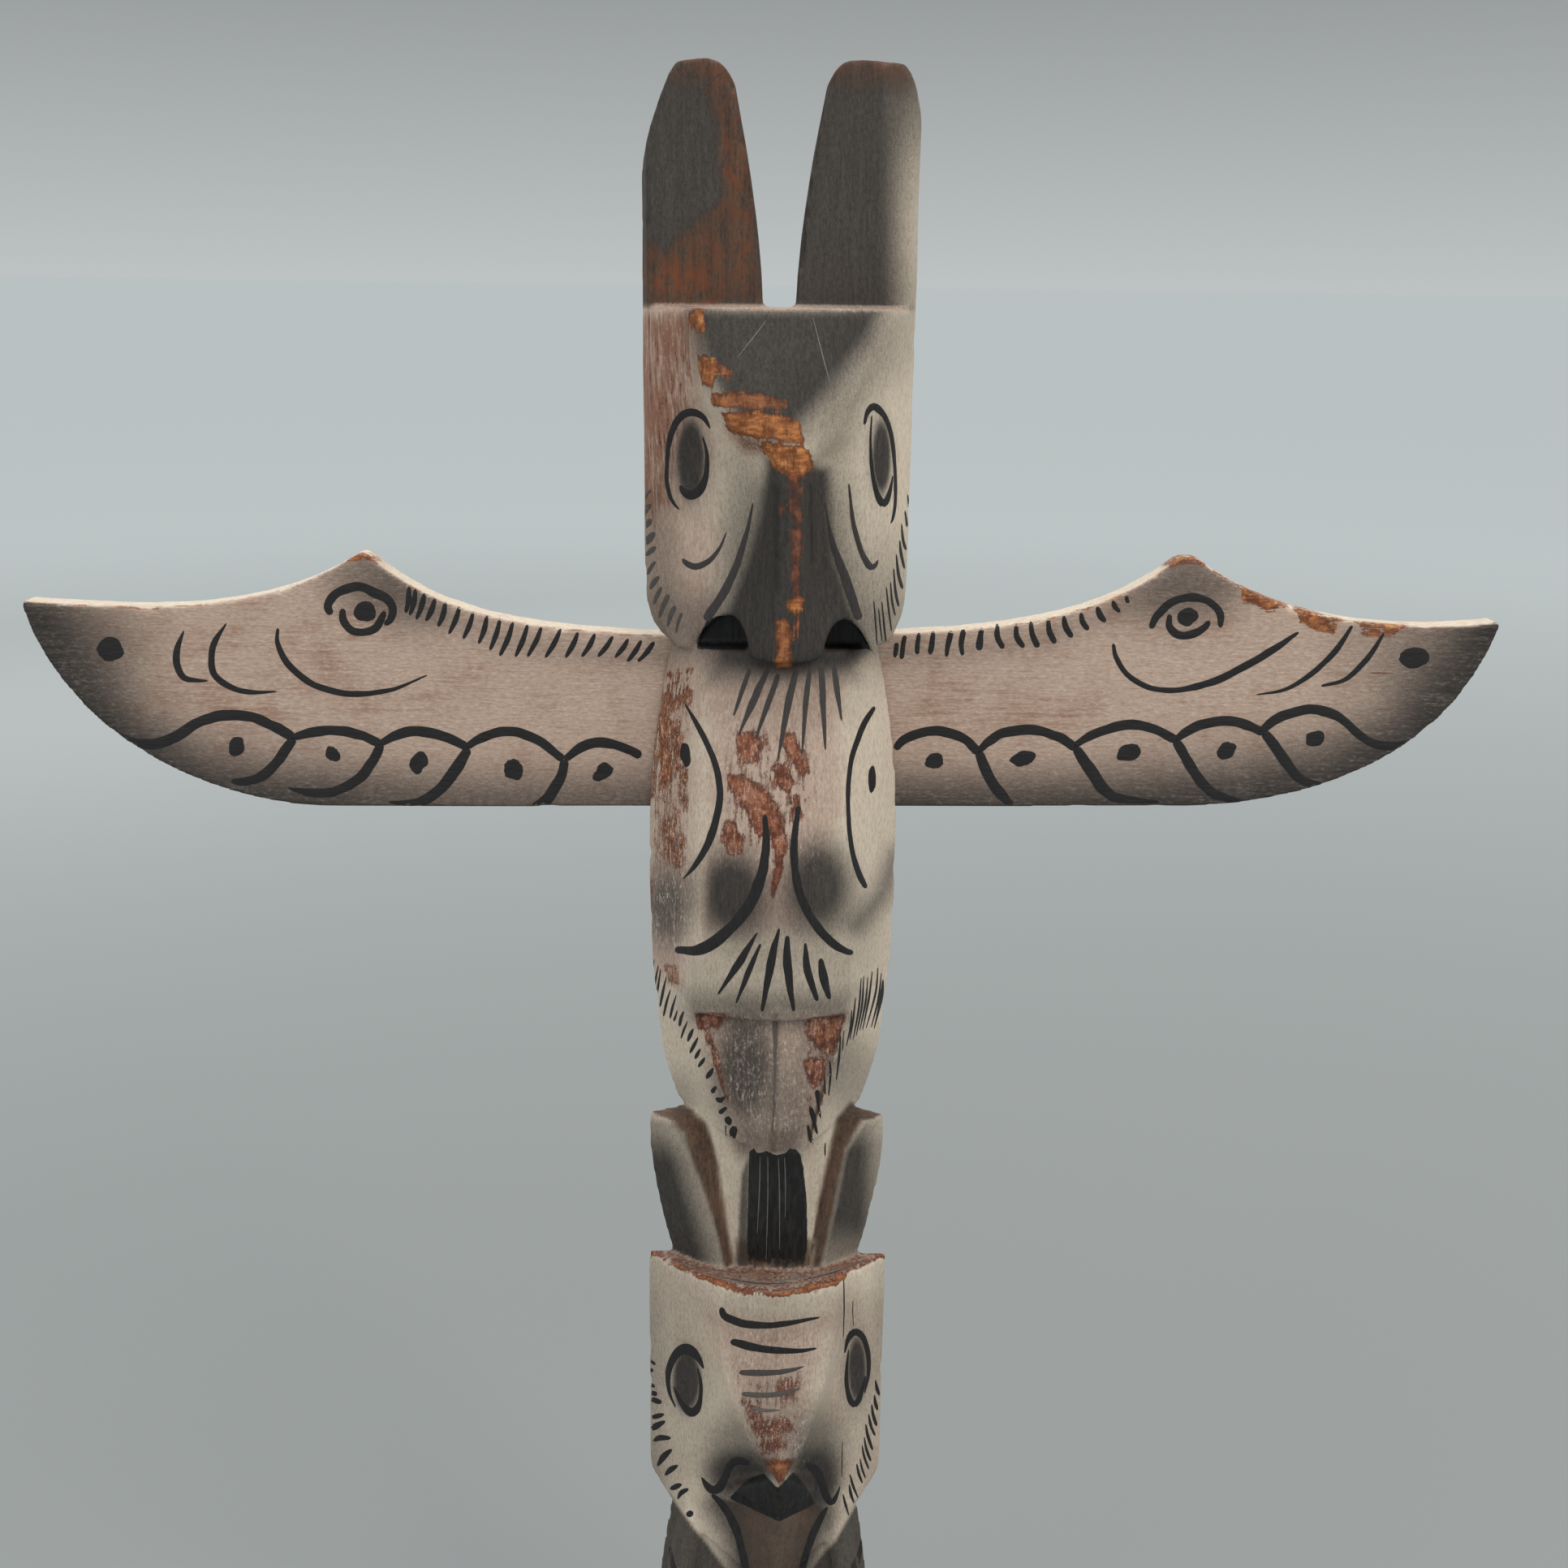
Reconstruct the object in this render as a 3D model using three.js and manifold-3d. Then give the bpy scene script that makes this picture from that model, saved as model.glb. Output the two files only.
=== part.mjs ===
// A carved and painted model totem pole: a horned bird with spread wings over a long-eared
// animal, cut from one flat-backed half-round length of cedar, with one wing board fixed
// across its back. Millimetres, +Z up, front towards -Y, origin under the middle of the base.
import * as THREE from "three";
import { mergeVertices } from "three/addons/utils/BufferGeometryUtils.js";
import Module from "manifold-3d";

const wasm = await Module();
wasm.setup();

// ---- driving sizes -------------------------------------------------------------------
const HEIGHT = 381; // table to horn tips
const BACK_Y = 10; // plane of the flat back
const STOCK_R = 25.6; // radius of the half-round stock
const STOCK_OFFSET = 5.6; // flat back in front of the stock's centre
const STOCK_HALF = Math.sqrt(STOCK_R ** 2 - STOCK_OFFSET ** 2); // half the width, 25
const EDGE = 0.7; // blunt edge left where the round meets the flat back

const Z_BROW = 338.9; // saw cut over the bird's brow, foot of its horns
const Z_BEAK_TOP = 313; // most forward point of the bird's head
const Z_HEAD_BOTTOM = 276.5; // flat undercut below cheeks and beak
const Z_BELLY = 205.9; // step under the belly
const Z_TAIL_TOP = 175.6; // where the tail feathers start
const Z_LEDGE = 146.4; // saw cut across the top of the lower head
const Z_SNOUT = 106.6; // snout tip
const Z_NOSE = 93.5; // underside of the nose
const Z_CHIN = 64; // point of the jaw
const Z_BASE = 14; // top of the low base

const HORN_THICK = 4.8; // thickness of the horns, from the flat back
const HORN_GAP = 5.9; // gap between the horns at their foot
const BEAK_X = 2.3; // the beak stands a little off the centre
const BEAK_RIDGE = 2.3; // half width of the beak's ridge
const SNOUT_X = 3;

const WING_THICK = 6;
const WING_GAP = 0.05; // glue line between the board and the flat back

const BASE_W = 60;
const BASE_D = 46;
const BASE_CORNER = 9;

// ---- helpers -------------------------------------------------------------------------
const lerp = (a, b, t) => a + (b - a) * t;
const clamp = (v, a, b) => Math.min(b, Math.max(a, v));
// The smaller of two values, with the crease between them worn round over about k.
function softMin(a, b, k) {
  const h = clamp(0.5 + (0.5 * (b - a)) / k, 0, 1);
  return lerp(b, a, h) - k * h * (1 - h);
}

// Smooth function of one variable through [position, value] stations.
function profile(...stations) {
  const p = [...stations].sort((a, b) => a[0] - b[0]);
  const m = p.map((q, i) => {
    const a = p[Math.max(0, i - 1)];
    const b = p[Math.min(p.length - 1, i + 1)];
    const left = i > 0 ? (q[1] - a[1]) / (q[0] - a[0]) : 0;
    const right = i < p.length - 1 ? (b[1] - q[1]) / (b[0] - q[0]) : 0;
    if (i === 0) return right;
    if (i === p.length - 1) return left;
    return left * right <= 0 ? 0 : (2 * left * right) / (left + right);
  });
  return (v) => {
    if (v <= p[0][0]) return p[0][1];
    if (v >= p[p.length - 1][0]) return p[p.length - 1][1];
    const i = p.findIndex((q) => v < q[0]) - 1;
    const h = p[i + 1][0] - p[i][0];
    const t = (v - p[i][0]) / h;
    return (
      (1 + 2 * t) * (1 - t) ** 2 * p[i][1] +
      t * (1 - t) ** 2 * h * m[i] +
      t * t * (3 - 2 * t) * p[i + 1][1] +
      t * t * (t - 1) * h * m[i + 1]
    );
  };
}

// Depth of the half-round stock in front of the flat back.
const stock = (x) =>
  Math.sqrt(Math.max(STOCK_R ** 2 - x * x, 0)) - STOCK_OFFSET;

function solid(geometry) {
  const g = geometry.clone();
  g.deleteAttribute("normal");
  g.deleteAttribute("uv");
  const m = mergeVertices(g, 1e-4);
  return new wasm.Manifold(
    new wasm.Mesh({
      numProp: 3,
      vertProperties: new Float32Array(m.attributes.position.array),
      triVerts: new Uint32Array(m.index.array),
    }),
  );
}

function geometryOf(manifold) {
  const m = manifold.getMesh();
  const g = new THREE.BufferGeometry();
  g.setAttribute("position", new THREE.BufferAttribute(m.vertProperties, 3));
  g.setIndex(new THREE.BufferAttribute(m.triVerts, 1));
  g.computeVertexNormals();
  return g;
}

// A carved block: a box whose front is moved to the points row(s) gives, from its foot (s = 0)
// to its top (s = 1). Each row lists [x, depth in front of the flat back, z], left to right.
function relief(rows, row) {
  const cols = row(0).length - 1;
  const g = new THREE.BoxGeometry(1, 1, 1, cols, 1, rows);
  const pos = g.attributes.position;
  const made = Array.from({ length: rows + 1 }, (_, i) => row(i / rows));
  for (let i = 0; i < pos.count; i++) {
    const [x, d, z] =
      made[Math.round((pos.getZ(i) + 0.5) * rows)][
        Math.round((pos.getX(i) + 0.5) * cols)
      ];
    pos.setXYZ(i, x, pos.getY(i) < 0 ? BACK_Y - d : BACK_Y + 4, z);
  }
  return solid(g);
}

// A flat outline in the front view, from depth `from` to depth `to`.
function plate(shape, from, to, curveSegments = 10) {
  const g = new THREE.ExtrudeGeometry(shape, {
    depth: to - from,
    bevelEnabled: false,
    curveSegments,
  });
  g.rotateX(Math.PI / 2);
  g.translate(0, BACK_Y - from, 0);
  return solid(g);
}

const spread = (a, b, n) => Array.from({ length: n }, (_, i) => lerp(a, b, i / (n - 1)));

// ---- the bird's horns ----------------------------------------------------------------
// Each horn is upright outside, leans away from the gap inside, and is rounded over at the top.
function horn(side, outer, tipOut, tipIn, shoulder) {
  const inner = (z) => lerp(HORN_GAP / 2, tipIn, ((z - Z_BROW) / (HEIGHT - Z_BROW)) ** 1.5);
  const s = new THREE.Shape();
  s.moveTo(side * HORN_GAP * 0.5, Z_BROW - 1);
  s.lineTo(side * outer, Z_BROW - 1);
  s.lineTo(side * outer, shoulder);
  s.bezierCurveTo(
    side * (outer - 0.1), shoulder + 12,
    side * (tipOut + 2.2), HEIGHT - 3,
    side * tipOut, HEIGHT - 0.9,
  );
  s.quadraticCurveTo(side * (tipOut - 2.5), HEIGHT, side * (tipIn + 3.2), HEIGHT - 0.2);
  s.quadraticCurveTo(side * (tipIn + 0.8), HEIGHT - 0.6, side * inner(HEIGHT - 4.5), HEIGHT - 4.5);
  for (const z of spread(HEIGHT - 9, Z_BROW, 7)) s.lineTo(side * inner(z), z);
  return plate(s, -4, HORN_THICK, 6);
}
const horns = horn(-1, 26, 18.6, 9.2, 352).add(horn(1, 26, 21.6, 8.8, 358));

// ---- the bird's head -----------------------------------------------------------------
const headHalf = profile([276.5, 19.4], [278.4, 21.8], [281, 23.6], [285, 24.6], [291, 24.95], [340, 25]);
const headSpineX = profile([276, 2], [Z_BEAK_TOP, BEAK_X + 0.2], [326, 0.8], [340, 0.4]);
const headSpineL = profile([276, BEAK_RIDGE], [Z_BEAK_TOP, BEAK_RIDGE], [316, 6.2], [321, 11], [327, 13], [340, 14.8]);
const headSpineR = profile([276, BEAK_RIDGE], [Z_BEAK_TOP, BEAK_RIDGE], [315.5, 6.4], [322, 11.4], [333, 17], [340, 19]);
const headSpineD = profile([276, 19.2], [290, 19.7], [Z_BEAK_TOP, 19.9], [340, 14.6]);
const beakFoot = profile([276, 15.2], [280, 13.4], [284, 10.8], [291, 8], [305, 5.7], [Z_BEAK_TOP, 4.6]);
const browSwell = (z) => 0.12 * Math.max(0, z - 300);
const cheekLeft = (x, z) => softMin(stock(x) + 0.3, 2.6 + (x + 24.6) * 0.46 + browSwell(z), 2);
const valleyRight = (z) => 12.4 + 0.8 * browSwell(z) - 0.05 * Math.max(0, 300 - z);
const cheekRight = (x, z) => softMin(stock(x) + 0.3, valleyRight(z), 2.6);

function headRow(s) {
  const z = lerp(Z_HEAD_BOTTOM, Z_BROW, s);
  const w = headHalf(z);
  const xc = headSpineX(z);
  const xl = xc - headSpineL(z);
  const xr = xc + headSpineR(z);
  const d = headSpineD(z);
  const top = (x) => softMin(stock(x) + 0.15, d - 0.5 * ((x - xc) / 20) ** 2, 0.8);
  const below = z < Z_BEAK_TOP;
  const run = (drop) => clamp(drop * 0.75, 0.9, 4.4);
  const fl = below ? xc - beakFoot(z) : xl - run(top(xl) - cheekLeft(xl - 2, z));
  const fr = below ? xc + beakFoot(z) * 1.02 : xr + run(top(xr) - cheekRight(xr + 2, z));
  const edge = (x, depth) => (Math.abs(x) > w - 0.01 ? EDGE : depth);
  const left = spread(-w, fl, 8).map((x) => [x, edge(x, Math.max(EDGE, cheekLeft(x, z)))]);
  const crease = Math.max(fr + 1, Math.sqrt(STOCK_R ** 2 - (valleyRight(z) + STOCK_OFFSET - 0.3) ** 2));
  const right = [...spread(fr, crease, 4), ...spread(crease, w, 7).slice(1)].map((x) => [
    x,
    edge(x, Math.max(EDGE, cheekRight(x, z))),
  ]);
  const mid = spread(xl, xr, 5).map((x) => [x, top(x)]);
  // the beak's flanks are hollow-ground
  const flank = (a, b) => [
    lerp(a[0], b[0], 0.5),
    lerp(a[1], b[1], 0.5) - Math.min(below ? 1.2 : 0.3, 0.16 * Math.max(0, Math.abs(b[1] - a[1]))),
  ];
  return [
    ...left,
    flank(left[7], mid[0]),
    ...mid,
    flank(mid[4], right[0]),
    ...right,
  ].map(([x, dd]) => [x, dd, z]);
}
const head = relief(28, headRow);

// Mouth corners: arched hollows that part the beak from the cheeks, cut up from below.
function mouthArch(inner, apex, outer, height) {
  const s = new THREE.Shape();
  const z = Z_HEAD_BOTTOM - 0.6;
  s.moveTo(inner, z);
  s.lineTo(outer, z);
  s.bezierCurveTo(lerp(outer, apex, 0.35), z + height * 0.62, lerp(outer, apex, 0.62), z + height, apex, z + height);
  s.bezierCurveTo(lerp(apex, inner, 0.55), z + height, lerp(apex, inner, 0.85), z + height * 0.6, inner, z);
  return plate(s, 4.5, 26, 8);
}

// ---- the bird's body -----------------------------------------------------------------
const bodyHalf = profile([205, 23.3], [214, 23.9], [230, 24.4], [245, 24.2], [257, 23.2], [267.5, 21.6], [277, 19.7]);
const bodyDepth = profile([205, 18.4], [213, 18.9], [226, 19.2], [240, 18.7], [255, 17.3], [268, 15], [277, 13]);
const bodyFacet = profile([205, 14.7], [240, 14.5], [265, 14], [277, 12.8]);
function bodyRow(s) {
  const z = lerp(Z_BELLY, Z_HEAD_BOTTOM + 0.6, s);
  const w = bodyHalf(z);
  const f = bodyFacet(z);
  const d = bodyDepth(z);
  const df = d - 4.4;
  const front = spread(-f, f, 9).map((x) => [x, d - (d - df) * (x / f) ** 2]);
  const side = (k) => [lerp(f, w, k), lerp(df, EDGE, k) + 2 * k * (1 - k)];
  const right = [0.4, 0.75, 1].map(side);
  const left = right.map(([x, dd]) => [-x, dd]).reverse();
  return [...left, ...front, ...right].map(([x, dd]) => [x, dd, z]);
}
const body = relief(26, bodyRow);

// ---- thighs and tail -----------------------------------------------------------------
// Two side panels run down to points; the wedge between them is set back, with a crest.
const thighHalf = profile([175, 17.2], [181.5, 18.6], [186, 20.1], [195, 22.2], [206.5, 23.2]);
const wedgeHalf = profile([175, 6.4], [206.5, 14.9]);
const wedgeX = profile([175, 1.4], [206.5, 0.1]);
const thighDepth = profile([175, 12], [190, 13.2], [206.5, 14.1]);
const THIGH_FOOT = [181.6, 180.2, 178.4, 176.4, 175.6]; // outside to inside
function thighRow(s) {
  const at = (k) => lerp(THIGH_FOOT[k], Z_BELLY + 0.5, s);
  const half = (sign) => {
    const out = [];
    for (const [k, u] of [[0, 1], [1, 0.66], [2, 0.33], [3, 0]]) {
      const z = at(k);
      const a = wedgeHalf(z);
      const w = thighHalf(z) - sign * wedgeX(z);
      const dd = lerp(thighDepth(z), EDGE, u) + 2 * u * (1 - u);
      out.push([wedgeX(z) + sign * lerp(a, w, u), dd, z]);
    }
    const z = at(4);
    out.push([wedgeX(z) + sign * (wedgeHalf(z) - 0.5), thighDepth(z) - 1.7, z]);
    out.push([wedgeX(z) + sign * wedgeHalf(z) * 0.5, thighDepth(z) - 0.7, z]);
    return out;
  };
  const z = at(4);
  return [...half(-1), [wedgeX(z), thighDepth(z) + 0.4, z], ...half(1).reverse()];
}
const thighs = relief(10, thighRow);

// Tail: a block of upright flutes that leans back to the ledge.
const TAIL_X = 1.6;
const TAIL_HALF = 7.2;
const TAIL_FLUTES = 5;
function tailRow(s) {
  const z = lerp(Z_LEDGE - 5, Z_TAIL_TOP + 1.2, s);
  const d = lerp(6.6, 12, s);
  const w = TAIL_HALF + 0.3 * Math.sin(Math.PI * s) + lerp(0.5, -0.6, s);
  const n = TAIL_FLUTES * 4;
  return spread(-1, 1, n + 1).map((u, i) => [
    TAIL_X + u * w,
    d - 0.6 * (1 - Math.abs(Math.sin((Math.PI * i) / 4))) - 1.3 * u ** 4,
    z,
  ]);
}
const tail = relief(3, tailRow);

// Core behind tail and ears, seen as a strip on each side of the tail.
const core = relief(4, (s) => {
  const z = lerp(Z_LEDGE - 5, 184, s);
  const d = lerp(6.4, 9.2, s);
  const w = lerp(13, 16.5, s);
  return [[-w, 2.5], [-0.72 * w, d - 1.2], [-0.4 * w, d], [TAIL_X, d + 0.5], [0.5 * w, d], [0.78 * w, d - 1.2], [w + 1, 2.5]].map(([x, dd]) => [x, dd, z]);
});

// ---- the lower animal's ears ---------------------------------------------------------
const earOuter = profile([140, 18.6], [146.8, 19.9], [150.5, 20.9], [158, 22.6], [167, 24.1], [173, 24.6], [180, 24.3]);
const earFront = profile([140, 7.6], [146.6, 8.7], [152.8, 10.1], [167.5, 13.5], [172, 14.7], [176.5, 16.8], [179.5, 20.6]);
const earInner = profile([140, 5.4], [146, 6.6], [157, 8.4], [170, 10.9], [178, 12.8], [182, 14]);
const earDepth = profile([140, 7.2], [147, 7.8], [165, 8.6], [174, 8.2], [179.5, 5.4]);
function ear(sign, narrow) {
  const top = [178.2, 178.7, 179.2, 181, 181.4];
  return relief(12, (s) => {
    const zs = top.map((t) => lerp(Z_LEDGE - 5, t, s));
    const o = earOuter(zs[0]) - narrow;
    const f = earFront(zs[2]);
    const fd = earDepth(zs[2]);
    const i = earInner(zs[3]);
    const row = [
      [o, EDGE, zs[0]],
      [lerp(o, f, 0.5), lerp(EDGE, fd, 0.5) + 0.7, zs[1]],
      [f, fd, zs[2]],
      [i, Math.max(4.4, earDepth(Math.min(zs[3], 176)) - 2.4), zs[3]],
      [i - 2.5, 4, zs[4]],
    ].map(([x, d, z]) => [sign * x, d, z]);
    return sign < 0 ? row : row.reverse();
  });
}
const ears = ear(-1, 0).add(ear(1, 0.9));

// ---- the lower animal's head ---------------------------------------------------------
const faceHalf = profile([84, 19.4], [86, 20.4], [90, 22.8], [94.6, 24.8], [98, 25], [147, 25]);
const faceX = profile([64, 2], [90, 2.2], [106, SNOUT_X], [118, 2.2], [147, 1.8]);
const faceRidge = profile([64, 0.6], [90, 2.4], [100, 2.6], [106, 2.7], [110, 4.7], [118, 8.2], [130, 11.2], [139, 12.2], [147, 12.6]);
const faceRidgeD = profile([64, 10.6], [80, 12], [94, 12.4], [100, 13], [106, 17], [110, 17.9], [118, 16.4], [130, 14.3], [147, 12.7]);
const faceCrown = profile([64, 0.6], [100, 0.8], [110, 1.2], [118, 1.7], [130, 2.7], [147, 4]);
const faceFoot = profile([64, 1.6], [80, 5], [90, 8], [100, 8.2], [106, 5.6], [118, 3.4], [130, 3], [147, 3]);
const faceSlope = profile([64, 0.5], [95, 0.55], [105, 0.62], [120, 0.74], [147, 0.93]);
const cheek = (r, z) => EDGE + (25 - r) * faceSlope(z);
const JAW_FOOT = [86, 83, 79.5, 75.5, 71.5, 67.5, 65.5, Z_CHIN]; // outside to the middle
function faceRow(s) {
  const at = (k) => lerp(JAW_FOOT[k], Z_LEDGE, s);
  const half = (sign) => {
    const out = [];
    for (const k of [0, 1, 2, 3]) {
      const z = at(k);
      const w = faceHalf(z);
      const foot = Math.min(w - 1.5, sign * faceX(z) + faceRidge(z) + faceFoot(z));
      const r = lerp(w, foot, k / 3);
      out.push([sign * r, k === 0 ? EDGE : cheek(r, z) + (k < 3 ? 0.5 : 0), z]);
    }
    for (const [k, u] of [[4, 0.5], [5, 0], [6, -1]]) {
      const z = at(k);
      const ridge = faceRidge(z);
      if (u < 0) {
        out.push([faceX(z) + sign * ridge * 0.5, faceRidgeD(z) + faceCrown(z) * 0.74, z]);
        continue;
      }
      const foot = faceFoot(z);
      const dr = faceRidgeD(z);
      const dc = cheek(sign * faceX(z) + ridge + foot, z);
      out.push([faceX(z) + sign * (ridge + u * foot), u ? lerp(dr, dc, 0.5) - 0.1 * clamp(dr - dc, 0, 4) : dr, z]);
    }
    return out;
  };
  const z = at(7);
  return [...half(-1), [faceX(z), faceRidgeD(z) + faceCrown(z), z], ...half(1).reverse()];
}
const face = relief(28, faceRow);

// Snout and nose: a keeled block that leans back to a V-shaped lower edge.
const NOSE_HALF = 8.9;
const noseKeel = profile([93, 16.6], [100, 18.4], [Z_SNOUT - 0.5, 20.1], [110, 19]);
const nose = relief(8, (s) =>
  spread(-1, 1, 9).map((u) => {
    const r = Math.abs(u);
    const z = lerp(Z_NOSE + 3.6 * r, lerp(109, 97.8, Math.sqrt(r)), s);
    return [SNOUT_X - 1.2 * r * r + u * NOSE_HALF, noseKeel(z) - r * 3.4 - r * r * 1.2, z];
  }),
);

// ---- the lower animal's body, plainer ------------------------------------------------
const trunkHalf = profile([10, 24], [30, 24.3], [45, 24.3], [55, 23.8], [68.4, 22.7], [78.4, 21.4], [86, 20.1], [100, 18]);
const trunkDepth = profile([10, 11], [30, 12], [46, 12.4], [60, 10.4], [72, 8.4], [100, 8]);
const trunk = relief(14, (s) => {
  const z = lerp(Z_BASE - 3, 98, s);
  const w = trunkHalf(z);
  const d = trunkDepth(z);
  return spread(-1, 1, 13).map((u) => [u * w, Math.max(EDGE, lerp(EDGE, d, (1 - Math.abs(u) ** 2.4) ** 0.75)), z]);
});

// Arms lie along the sides, with the forearms laid across the belly.
const ARM_WIDE = 5.4;
const ARM_DEEP = 3.4;
function arm(sign) {
  const path = new THREE.CatmullRomCurve3(
    [[13, 1, 92], [16, 2.6, 80], [18.2, 5, 66], [18.2, 7.4, 52], [12, 10.8, 46], [4.4, 12.4, 50]].map(
      ([x, d, z]) => new THREE.Vector3(sign * x, BACK_Y - d, z),
    ),
  );
  const section = new THREE.Shape();
  section.absellipse(0, 0, ARM_WIDE, ARM_DEEP, 0, Math.PI * 2);
  return solid(
    new THREE.ExtrudeGeometry(section, { extrudePath: path, steps: 14, curveSegments: 5 }),
  );
}

// Drawn-up knees, and feet that stand on the base.
function leg(sign) {
  const knee = relief(8, (s) => {
    const z = lerp(Z_BASE - 2, 39, s);
    const swell = Math.sin(Math.PI * clamp(0.18 + s * 0.78, 0, 1));
    const row = spread(0, 1, 7).map((u) => [sign * lerp(6.5 + 2.2 * s, 24.2 - 0.6 * s, u), 3 + (4.5 + 7.5 * swell) * Math.sin(Math.PI * lerp(0.16, 0.95, u)) ** 0.8, z]);
    return sign > 0 ? row : row.reverse();
  });
  const foot = relief(4, (s) => {
    const z = lerp(Z_BASE - 2, Z_BASE + 6, s);
    const row = spread(-1, 1, 7).map((u) => [sign * (11.5 + u * (5.2 - 0.9 * s)), 12 + (8 - 3.4 * s * s) * Math.sqrt(Math.max(0, 1 - u * u * 0.8)), z]);
    return sign > 0 ? row : row.reverse();
  });
  return knee.add(foot);
}

// ---- the base ------------------------------------------------------------------------
function baseBlock() {
  const w = BASE_W / 2;
  const d = BASE_D / 2;
  const r = BASE_CORNER;
  const s = new THREE.Shape();
  s.moveTo(-w + 3, d);
  s.lineTo(-w, d - 3);
  s.lineTo(-w, -d + r);
  s.quadraticCurveTo(-w, -d, -w + r, -d);
  s.lineTo(w - r, -d);
  s.quadraticCurveTo(w, -d, w, -d + r);
  s.lineTo(w, d - 3);
  s.lineTo(w - 3, d);
  s.closePath();
  const bevel = 1.6;
  const top = new THREE.ExtrudeGeometry(s, {
    depth: Z_BASE - 2 * bevel,
    bevelEnabled: true,
    bevelThickness: bevel,
    bevelSize: bevel,
    bevelOffset: -bevel,
    bevelSegments: 2,
    curveSegments: 6,
  });
  top.translate(0, 0, bevel);
  const foot = new THREE.ExtrudeGeometry(s, { depth: 3, bevelEnabled: false, curveSegments: 6 });
  return solid(top).add(solid(foot));
}

// ---- the pole, one carved piece ------------------------------------------------------
function stockLength() {
  const s = new THREE.Shape();
  const n = 40;
  s.moveTo(-STOCK_HALF, BACK_Y);
  for (let i = 0; i <= n; i++) {
    const x = lerp(-STOCK_HALF, STOCK_HALF, i / n);
    s.lineTo(x, BACK_Y - EDGE - Math.max(0, stock(x)));
  }
  s.lineTo(STOCK_HALF, BACK_Y);
  s.closePath();
  return solid(new THREE.ExtrudeGeometry(s, { depth: HEIGHT, bevelEnabled: false }));
}

const carved = head
  .subtract(mouthArch(-4.4, -8.2, -16, 7.6))
  .subtract(mouthArch(8.6, 12.6, 18.6, 7.3))
  .add(horns)
  .add(body)
  .add(thighs)
  .add(tail)
  .add(core)
  .add(ears)
  .add(face)
  .add(nose)
  .add(trunk)
  .add(arm(-1))
  .add(arm(1))
  .add(leg(-1))
  .add(leg(1));
const poleSolid = carved.intersect(stockLength()).add(baseBlock());

// ---- the wing board ------------------------------------------------------------------
// One board with a straight lower edge. Each wing rises to a crest and runs out to a point.
function wingOutline() {
  const s = new THREE.Shape();
  s.moveTo(-83.4, 242.6);
  s.lineTo(81.1, 244.8);
  s.bezierCurveTo(106.3, 245.6, 131.7, 255.5, 138.8, 281.6);
  s.lineTo(138.2, 282.2);
  s.bezierCurveTo(118.8, 279.9, 96.7, 281.5, 80, 293.7);
  s.quadraticCurveTo(78.2, 294.3, 76.5, 293.7);
  s.bezierCurveTo(62, 281.2, 42, 279.7, 23.8, 278.7);
  s.lineTo(-21.1, 277.8);
  s.bezierCurveTo(-40.2, 278.6, -62.3, 278.7, -77.4, 292.4);
  s.quadraticCurveTo(-78.6, 293.1, -79.8, 292.4);
  s.bezierCurveTo(-99, 280.1, -122.5, 281.6, -143.8, 282.8);
  s.lineTo(-144.3, 282.3);
  s.bezierCurveTo(-138.1, 255.7, -109.2, 241.4, -83.4, 242.6);
  return s;
}
const wingSolid = plate(wingOutline(), -WING_GAP - WING_THICK, -WING_GAP, 14);

// ---- scene graph ---------------------------------------------------------------------
const wood = (name, color, roughness) =>
  new THREE.MeshStandardMaterial({ name, color, roughness, metalness: 0 });

const totem = new THREE.Group();
totem.name = "totem_pole";

const pole = new THREE.Mesh(geometryOf(poleSolid), wood("painted_cedar", 0xa49d8b, 0.72));
pole.name = "pole";
totem.add(pole);

const wings = new THREE.Mesh(geometryOf(wingSolid), wood("painted_board", 0x9a8a7b, 0.74));
wings.name = "wing_board";
totem.add(wings);

export default totem;
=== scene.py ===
# Carved and painted model totem pole: a horned bird with spread wings above a long-eared animal.
# Every length below is in millimetres, and every pixel is of a 1932 x 1932 frame.
import math

import bmesh
import bpy
import numpy as np
from mathutils import Matrix, Vector
from mathutils.bvhtree import BVHTree


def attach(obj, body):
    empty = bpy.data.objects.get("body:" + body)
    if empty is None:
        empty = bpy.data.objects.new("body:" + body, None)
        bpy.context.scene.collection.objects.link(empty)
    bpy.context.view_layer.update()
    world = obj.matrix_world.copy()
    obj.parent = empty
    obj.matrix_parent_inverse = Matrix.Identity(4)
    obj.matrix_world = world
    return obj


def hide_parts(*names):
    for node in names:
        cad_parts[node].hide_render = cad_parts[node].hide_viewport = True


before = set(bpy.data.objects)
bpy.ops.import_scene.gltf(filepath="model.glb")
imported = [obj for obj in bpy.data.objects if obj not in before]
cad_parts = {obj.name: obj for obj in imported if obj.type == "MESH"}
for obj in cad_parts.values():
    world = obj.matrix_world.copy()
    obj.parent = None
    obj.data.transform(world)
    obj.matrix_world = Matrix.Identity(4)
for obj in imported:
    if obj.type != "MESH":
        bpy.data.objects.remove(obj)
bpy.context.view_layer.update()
scene = bpy.context.scene

# ---- sizes ---------------------------------------------------------------------------
BACK_Y = 10.0
Z_TOP = 381.0
Z_BROW = 338.9
Z_HEAD_BOTTOM = 276.5
Z_BELLY = 205.9
Z_LEDGE = 146.4
Z_BASE = 14.0
POLE_GRID = 0.66
WING_GRID = 0.65

# ---- camera --------------------------------------------------------------------------
FRAME_PX = 1932
FOCAL_PX = 2250.0
PITCH = math.radians(15.44)
ROLL = math.radians(0.72)
EYE = np.array([0.0, -335.0, 343.7])
SIDE_PX = 13.4
AXIS_PX = FRAME_PX / 2 - SIDE_PX

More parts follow.
